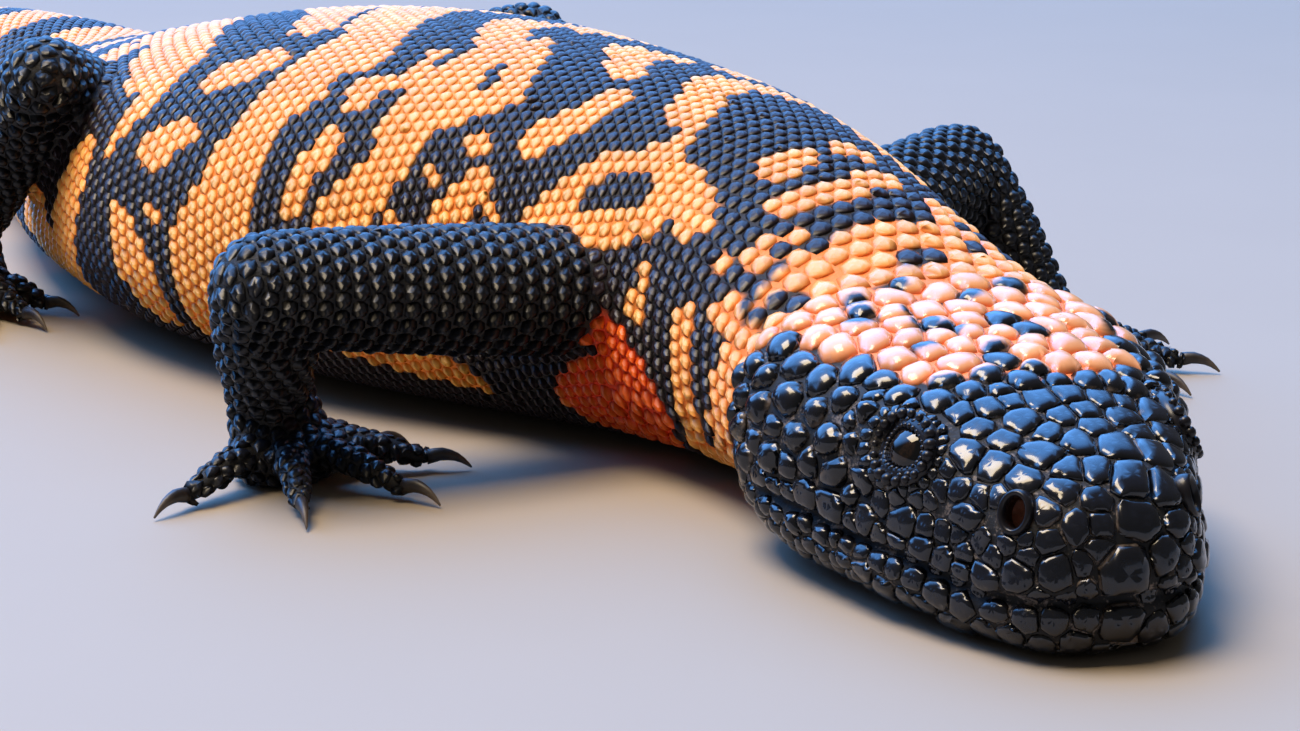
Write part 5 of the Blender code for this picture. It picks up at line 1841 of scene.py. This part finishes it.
class Eyes:
    """The two eyes, their lids and the rims of the nostrils."""

    # rings of granules: count, radius and share of the way across the lid
    lid_beads = ((26, 0.30, 0.10), (23, 0.46, 0.46), (19, 0.62, 0.86))
    lid_lift = 0.42
    rim_black = (0.010, 0.009, 0.011, 1.0)
    # cross sections: share of the way out from the opening and lift
    lid_levels = ((0.0, -1.1), (0.0, 0.3), (0.12, 0.62), (0.35, 0.75), (0.65, 0.62), (0.9, 0.3),
                  (1.05, -0.2), (1.1, -1.2), (0.7, -1.6))
    nostril_levels = ((0.0, -1.9), (0.0, -0.1), (0.2, 0.3), (0.55, 0.48), (0.85, 0.3),
                      (1.0, -0.2), (1.0, -1.2), (0.5, -1.9))

    def __init__(self, spine: Spine, openings: Openings) -> None:
        """Keep the shapes that the eyes are set by."""
        self.spine, self.openings = spine, openings

    def ball(self, name: str, side: float) -> Object:
        """Eyeball with a cornea that stands a little proud."""
        place, outward, along, rise = self.openings.eye_frame(self.spine, side)
        bm = bmesh.new()
        bmesh.ops.create_uvsphere(bm, u_segments=56, v_segments=36, radius=1.0)
        radius = self.openings.eye_radius
        centre = place - outward * self.openings.eye_depth
        turn = Matrix((along, rise, outward)).transposed()
        iris = []
        for vert in bm.verts:
            local = vert.co.copy()
            off = math.hypot(local.x, local.y)
            bulge = 0.05 * math.exp(-((off / 0.45) ** 2)) if local.z > 0 else 0.0
            iris.append(1.0 if local.z > 0 and 0.22 < off < 0.52 else 0.0)
            vert.co = (Vector(centre) + turn @ (local * radius * (1.0 + bulge))) * MM
        if turn.determinant() < 0:
            bmesh.ops.reverse_faces(bm, faces=bm.faces)
        item = make_object(name, bm)
        store(item.data, "iris", iris)
        return item

    def collar(self, bm: BMesh, frame_there: Frame, gap: Pair, reach: Pair, radius: float,
               levels: Sequence[Pair]) -> None:
        """Closed oval ring that rises round an opening.

        Args:
            bm: Mesh under construction.
            frame_there: Frame of the opening.
            gap: Half sizes of the opening.
            reach: Half sizes of the outer edge.
            radius: Radius of the ball that the ring hugs, or 0 for a level ring.
            levels: Share of the way from gap to reach and lift of each loop, in order.
        """
        place, outward, along, rise = frame_there
        turns = circle(48)
        rings = []
        for share, lift in levels:
            long, high = (g + (r - g) * share for g, r in zip(gap, reach))
            flat = np.outer(np.cos(turns) * long, along) + np.outer(np.sin(turns) * high, rise)
            level = self.ball_level(np.linalg.norm(flat, axis=1), radius) * (1.0 - share) + lift
            rings.append(place + flat + np.outer(level, outward))
        add_tube(bm, rings, hoop=True)

    def ball_level(self, off: Array, radius: float) -> Array:
        """Height of the eyeball over the head at a distance from its axis."""
        if not radius:
            return np.zeros_like(off)
        return np.sqrt(np.maximum(radius**2 - off**2, 0.15)) - self.openings.eye_depth

    def lid(self, name: str, side: float) -> Object:
        """Thick oval lid that hugs the eyeball, with rims of granules."""
        openings = self.openings
        place, outward, along, rise = frame_there = openings.eye_frame(self.spine, side)
        gap, reach, radius = openings.eye_gap, openings.lid_reach, openings.eye_radius
        bm = bmesh.new()
        self.collar(bm, frame_there, gap, reach, radius, self.lid_levels)
        for count, size, share in self.lid_beads:
            long, high = (g + (r - g) * share for g, r in zip(gap, reach))
            for k in range(count):
                turn = 2.0 * math.pi * (k + 0.5 * (share > 0.5)) / count
                flat = along * math.cos(turn) * long + rise * math.sin(turn) * high
                off = np.linalg.norm(flat, keepdims=True)
                level = self.ball_level(off, radius)[0] * (1.0 - share)
                spot = Vector(place + flat + outward * (level + self.lid_lift)) * MM
                own = size * (1.0 + 0.22 * math.sin(7.3 * k + 11.0 * share))
                made = bmesh.ops.create_icosphere(bm, subdivisions=2, radius=own * MM)["verts"]
                bmesh.ops.translate(bm, verts=made, vec=spot)
        bmesh.ops.recalc_face_normals(bm, faces=bm.faces)
        return make_object(name, bm)

    def nostril(self, name: str, side: float) -> Object:
        """Smooth raised rim of a nostril."""
        openings = self.openings
        bm = bmesh.new()
        self.collar(bm, openings.nostril_frame(self.spine, side), openings.nostril_gap,
                    openings.nostril_size, 0.0, self.nostril_levels)
        bmesh.ops.recalc_face_normals(bm, faces=bm.faces)
        return make_object(name, bm)


class Claws:
    """Curved claws, one at the end of each digit."""

    length = 5.4
    radius = 0.85
    segments = 12
    shares = np.array([0.0, 0.15, 0.32, 0.5, 0.66, 0.8, 0.91, 0.97, 1.0])
    # share of the length and height over the floor
    arch = ((0.0, 1.95), (0.3, 2.25), (0.6, 2.0), (0.85, 1.2), (1.0, 0.42))

    def build(self, limb: Limb) -> Object:
        """Make the claws of one foot as one mesh of closed horns."""
        bm, turns = bmesh.new(), circle(self.segments)
        tips: List[float] = []
        for turn, reach in limb.digits:
            path, _ = limb.digit_path(turn, reach)
            way = limb.direction(turn)
            start = path[-1]
            rings = []
            for share, level in zip(self.shares, np.interp(self.shares, *zip(*self.arch))):
                centre = start + way * (0.3 + share * self.length)
                centre[2] = level
                size = self.radius * max(1.0 - share**1.7, 0.0) + 0.13
                tilt = unit(way * (1.0 - 0.4 * share) - UP * 0.55 * share)
                side = unit(np.cross(way, UP))
                rise = np.cross(side, tilt)
                ring = centre + size * (0.82 * np.outer(np.cos(turns), side)
                                        + np.outer(np.sin(turns), rise))
                ring[:, 2] = np.maximum(ring[:, 2], 0.1)
                rings.append(ring)
                tips += [share] * self.segments
            add_tube(bm, rings)
        bmesh.ops.recalc_face_normals(bm, faces=bm.faces)
        item = make_object(limb.name + "_claws", bm)
        store(item.data, "tip", tips)
        return item


# ----- studio


class Studio:
    """Floor, soft lights and the camera."""

    camera_place = (0.405688, -0.257577, 0.112)
    camera_yaw = math.atan2(0.616, -0.788)
    camera_pitch = math.radians(14.22)
    lens = 91.38
    sensor = 36.0
    glow_way = (-0.69, 0.10, 0.75)
    glow_colour = (0.13, 0.40, 1.0)
    glow_strength = 6.8
    glow_edge = (0.62, 0.92)
    haze_colour = (0.85, 0.85, 0.85)
    haze_strength = 0.12
    key_place = (-0.05, -0.30, 1.05)
    key_target = (0.08, -0.02, 0.02)
    key_size = (0.6, 0.5)
    key_power = 17.0
    key_colour = (1.0, 0.80, 0.52)

    def build(self) -> None:
        """Make all of it."""
        bpy.context.scene.view_settings.view_transform = "Standard"
        self.floor()
        self.sky()
        self.softbox()
        self.camera()

    def floor(self) -> None:
        """Wide plain floor."""
        bm = bmesh.new()
        bmesh.ops.create_grid(bm, x_segments=1, y_segments=1, size=6.0)
        item = make_object("floor", bm, smooth=False)
        item.data.materials.append(FloorFinish().make())

    def sky(self) -> None:
        """Dim surroundings with one wide blue glow high behind the animal."""
        world = bpy.data.worlds.new("surroundings")
        bpy.context.scene.world = world
        m = Maker("surroundings", world)
        way = m.node("ShaderNodeTexCoord", output="Generated")
        facing = m.node("ShaderNodeVectorMath", {"operation": "DOT_PRODUCT"},
                        {0: way, 1: tuple(unit(np.array(self.glow_way)))}, "Value")
        haze, glow = (
            m.node("ShaderNodeBackground", None, {"Color": (*colour, 1.0), "Strength": strength})
            for colour, strength in ((self.haze_colour, self.haze_strength),
                                     (self.glow_colour, self.glow_strength))
        )
        share = facing.ramp(*self.glow_edge)
        sky = m.node("ShaderNodeMixShader", None, {0: share, 1: haze, 2: glow})
        m.node("ShaderNodeOutputWorld", None, {"Surface": sky})

    def softbox(self) -> None:
        """One warm soft panel aimed at the model."""
        data = bpy.data.lights.new("key_panel", "AREA")
        data.shape = "RECTANGLE"
        data.size, data.size_y = self.key_size
        data.energy = self.key_power
        data.color = self.key_colour
        item = linked("key_panel", data)
        item.location = self.key_place
        way = Vector(self.key_target) - Vector(self.key_place)
        item.rotation_euler = way.to_track_quat("-Z", "Y").to_euler()

    def camera(self) -> None:
        """Camera at the viewing angle of the reference."""
        data = bpy.data.cameras.new("camera")
        data.lens = self.lens
        data.sensor_fit = "HORIZONTAL"
        data.sensor_width = self.sensor
        data.clip_start = 0.01
        item = linked("camera", data)
        item.location = self.camera_place
        item.rotation_euler = (math.pi / 2.0 - self.camera_pitch, 0.0,
                               self.camera_yaw - math.pi / 2.0)
        bpy.context.scene.camera = item


LIMBS = (
    Limb(
        "right_hand", root=(91.0, -12.0, 20.5), bend=(82.0, -61.5, 26.0), end=(71.0, -55.0, 10.0),
        radii=(8.0, 6.8, 5.0), heading=8.0, palm=(7.4, 4.1, 7.0),
        digits=((86.0, 13.5), (52.0, 17.0), (10.0, 18.0), (-34.0, 17.5), (-82.0, 17.0)),
    ),
    Limb(
        "left_hand", root=(93.0, 12.0, 22.0), bend=(80.5, 50.0, 26.0), end=(89.0, 56.0, 10.0),
        radii=(8.4, 7.2, 5.2), heading=18.0, palm=(7.4, 4.1, 7.0),
        digits=((-78.0, 15.0), (-42.0, 18.0), (-10.0, 18.5), (24.0, 18.0), (66.0, 16.5)),
    ),
    Limb(
        "right_foot", root=(-42.0, -10.0, 17.0), bend=(-9.0, -41.5, 37.0),
        end=(-36.5, -42.5, 10.0),
        radii=(10.5, 6.2, 5.0), heading=-20.0, palm=(7.6, 4.2, 8.5),
        digits=((48.0, 14.5), (24.0, 17.0), (2.0, 19.5), (-26.0, 21.0), (-64.0, 18.0)),
    ),
    Limb(
        "left_foot", root=(-46.0, 12.0, 17.0), bend=(-26.0, 55.0, 31.0), end=(-50.0, 58.0, 10.5),
        radii=(11.0, 6.8, 5.2), heading=26.0, palm=(7.6, 4.2, 8.5),
        digits=((-52.0, 14.5), (-26.0, 17.0), (-2.0, 19.5), (24.0, 21.0), (60.0, 18.0)),
    ),
)


def paint_skin(skin: Skin, layout: Layout, markings: Markings) -> None:
    """Give the skin the same markings as the scales."""
    mesh = skin.item.data
    _, _, limb = layout.pitch_at(skin.spot)
    depth = markings.light(skin.spine, skin.spot, limb >= 0)
    light, dark = markings.paint(skin.spot, limb >= 0)
    share = smoothstep(-0.5, 0.3, depth)[:, None]
    colour = np.ones((len(skin.points), 4))
    colour[:, :3] = light * share + dark * (1.0 - share)
    for side in (-1.0, 1.0):
        place, outward, _, _ = skin.openings.nostril_frame(skin.spine, side)
        offset = skin.points - place
        off = np.linalg.norm(offset - np.outer(offset @ outward, outward), axis=1)
        deep = (smoothstep(2.2, 1.3, off) * (np.abs(offset @ outward) < 5.0))[:, None]
        colour[:, :3] += (np.array(skin.openings.nostril_colour) - colour[:, :3]) * deep
    store_tint(mesh, colour)
    store(mesh, "dry", 0.06 + 0.4 * smoothstep(345.0, 362.0, skin.spot.reach))


def dress(item: Object, material: Material) -> None:
    """Give a piece its finish and let it ride on the body."""
    item.data.materials.clear()
    item.data.materials.append(material)
    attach(item, "root")
    LOG.info("piece %s", item.name)


def main() -> None:
    """Build the animal and its studio in order."""
    logging.basicConfig(level=logging.INFO, format="%(message)s")
    spine, openings = Spine(), Openings()
    skin = Skin(spine, LIMBS, openings)
    LOG.info("skin: %d triangles", len(skin.triangles))
    layout = Layout(skin, openings)
    LOG.info("scales: %d", len(layout.sites.place))
    markings = Markings()
    paint_skin(skin, layout, markings)
    dress(skin.item, SkinFinish().make())
    flesh = [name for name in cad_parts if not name.startswith("eye")]
    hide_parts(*flesh)
    scale = ScaleFinish().make()
    for item in Coat(skin, layout, markings).build():
        dress(item, scale)
    eyes = Eyes(spine, openings)
    eye, horn = EyeFinish().make(), ClawFinish().make()
    for side, label in ((-1.0, "right"), (1.0, "left")):
        ball = eyes.ball("eyeball_" + label, side)
        dress(ball, eye)
        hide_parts("eye_" + label)
        for rim in (eyes.lid("lid_" + label, side), eyes.nostril("nostril_" + label, side)):
            count = len(rim.data.vertices)
            store_tint(rim.data, np.tile(Eyes.rim_black, count))
            # a fixed rise gives the rims a little of the scale finish's painted foot shade
            store(rim.data, "rise", np.full(count, 0.6))
            store(rim.data, "gloss", np.full(count, 0.45))
            dress(rim, scale)
    for limb in LIMBS:
        dress(Claws().build(limb), horn)
    Studio().build()


if __name__ == "__main__":
    main()
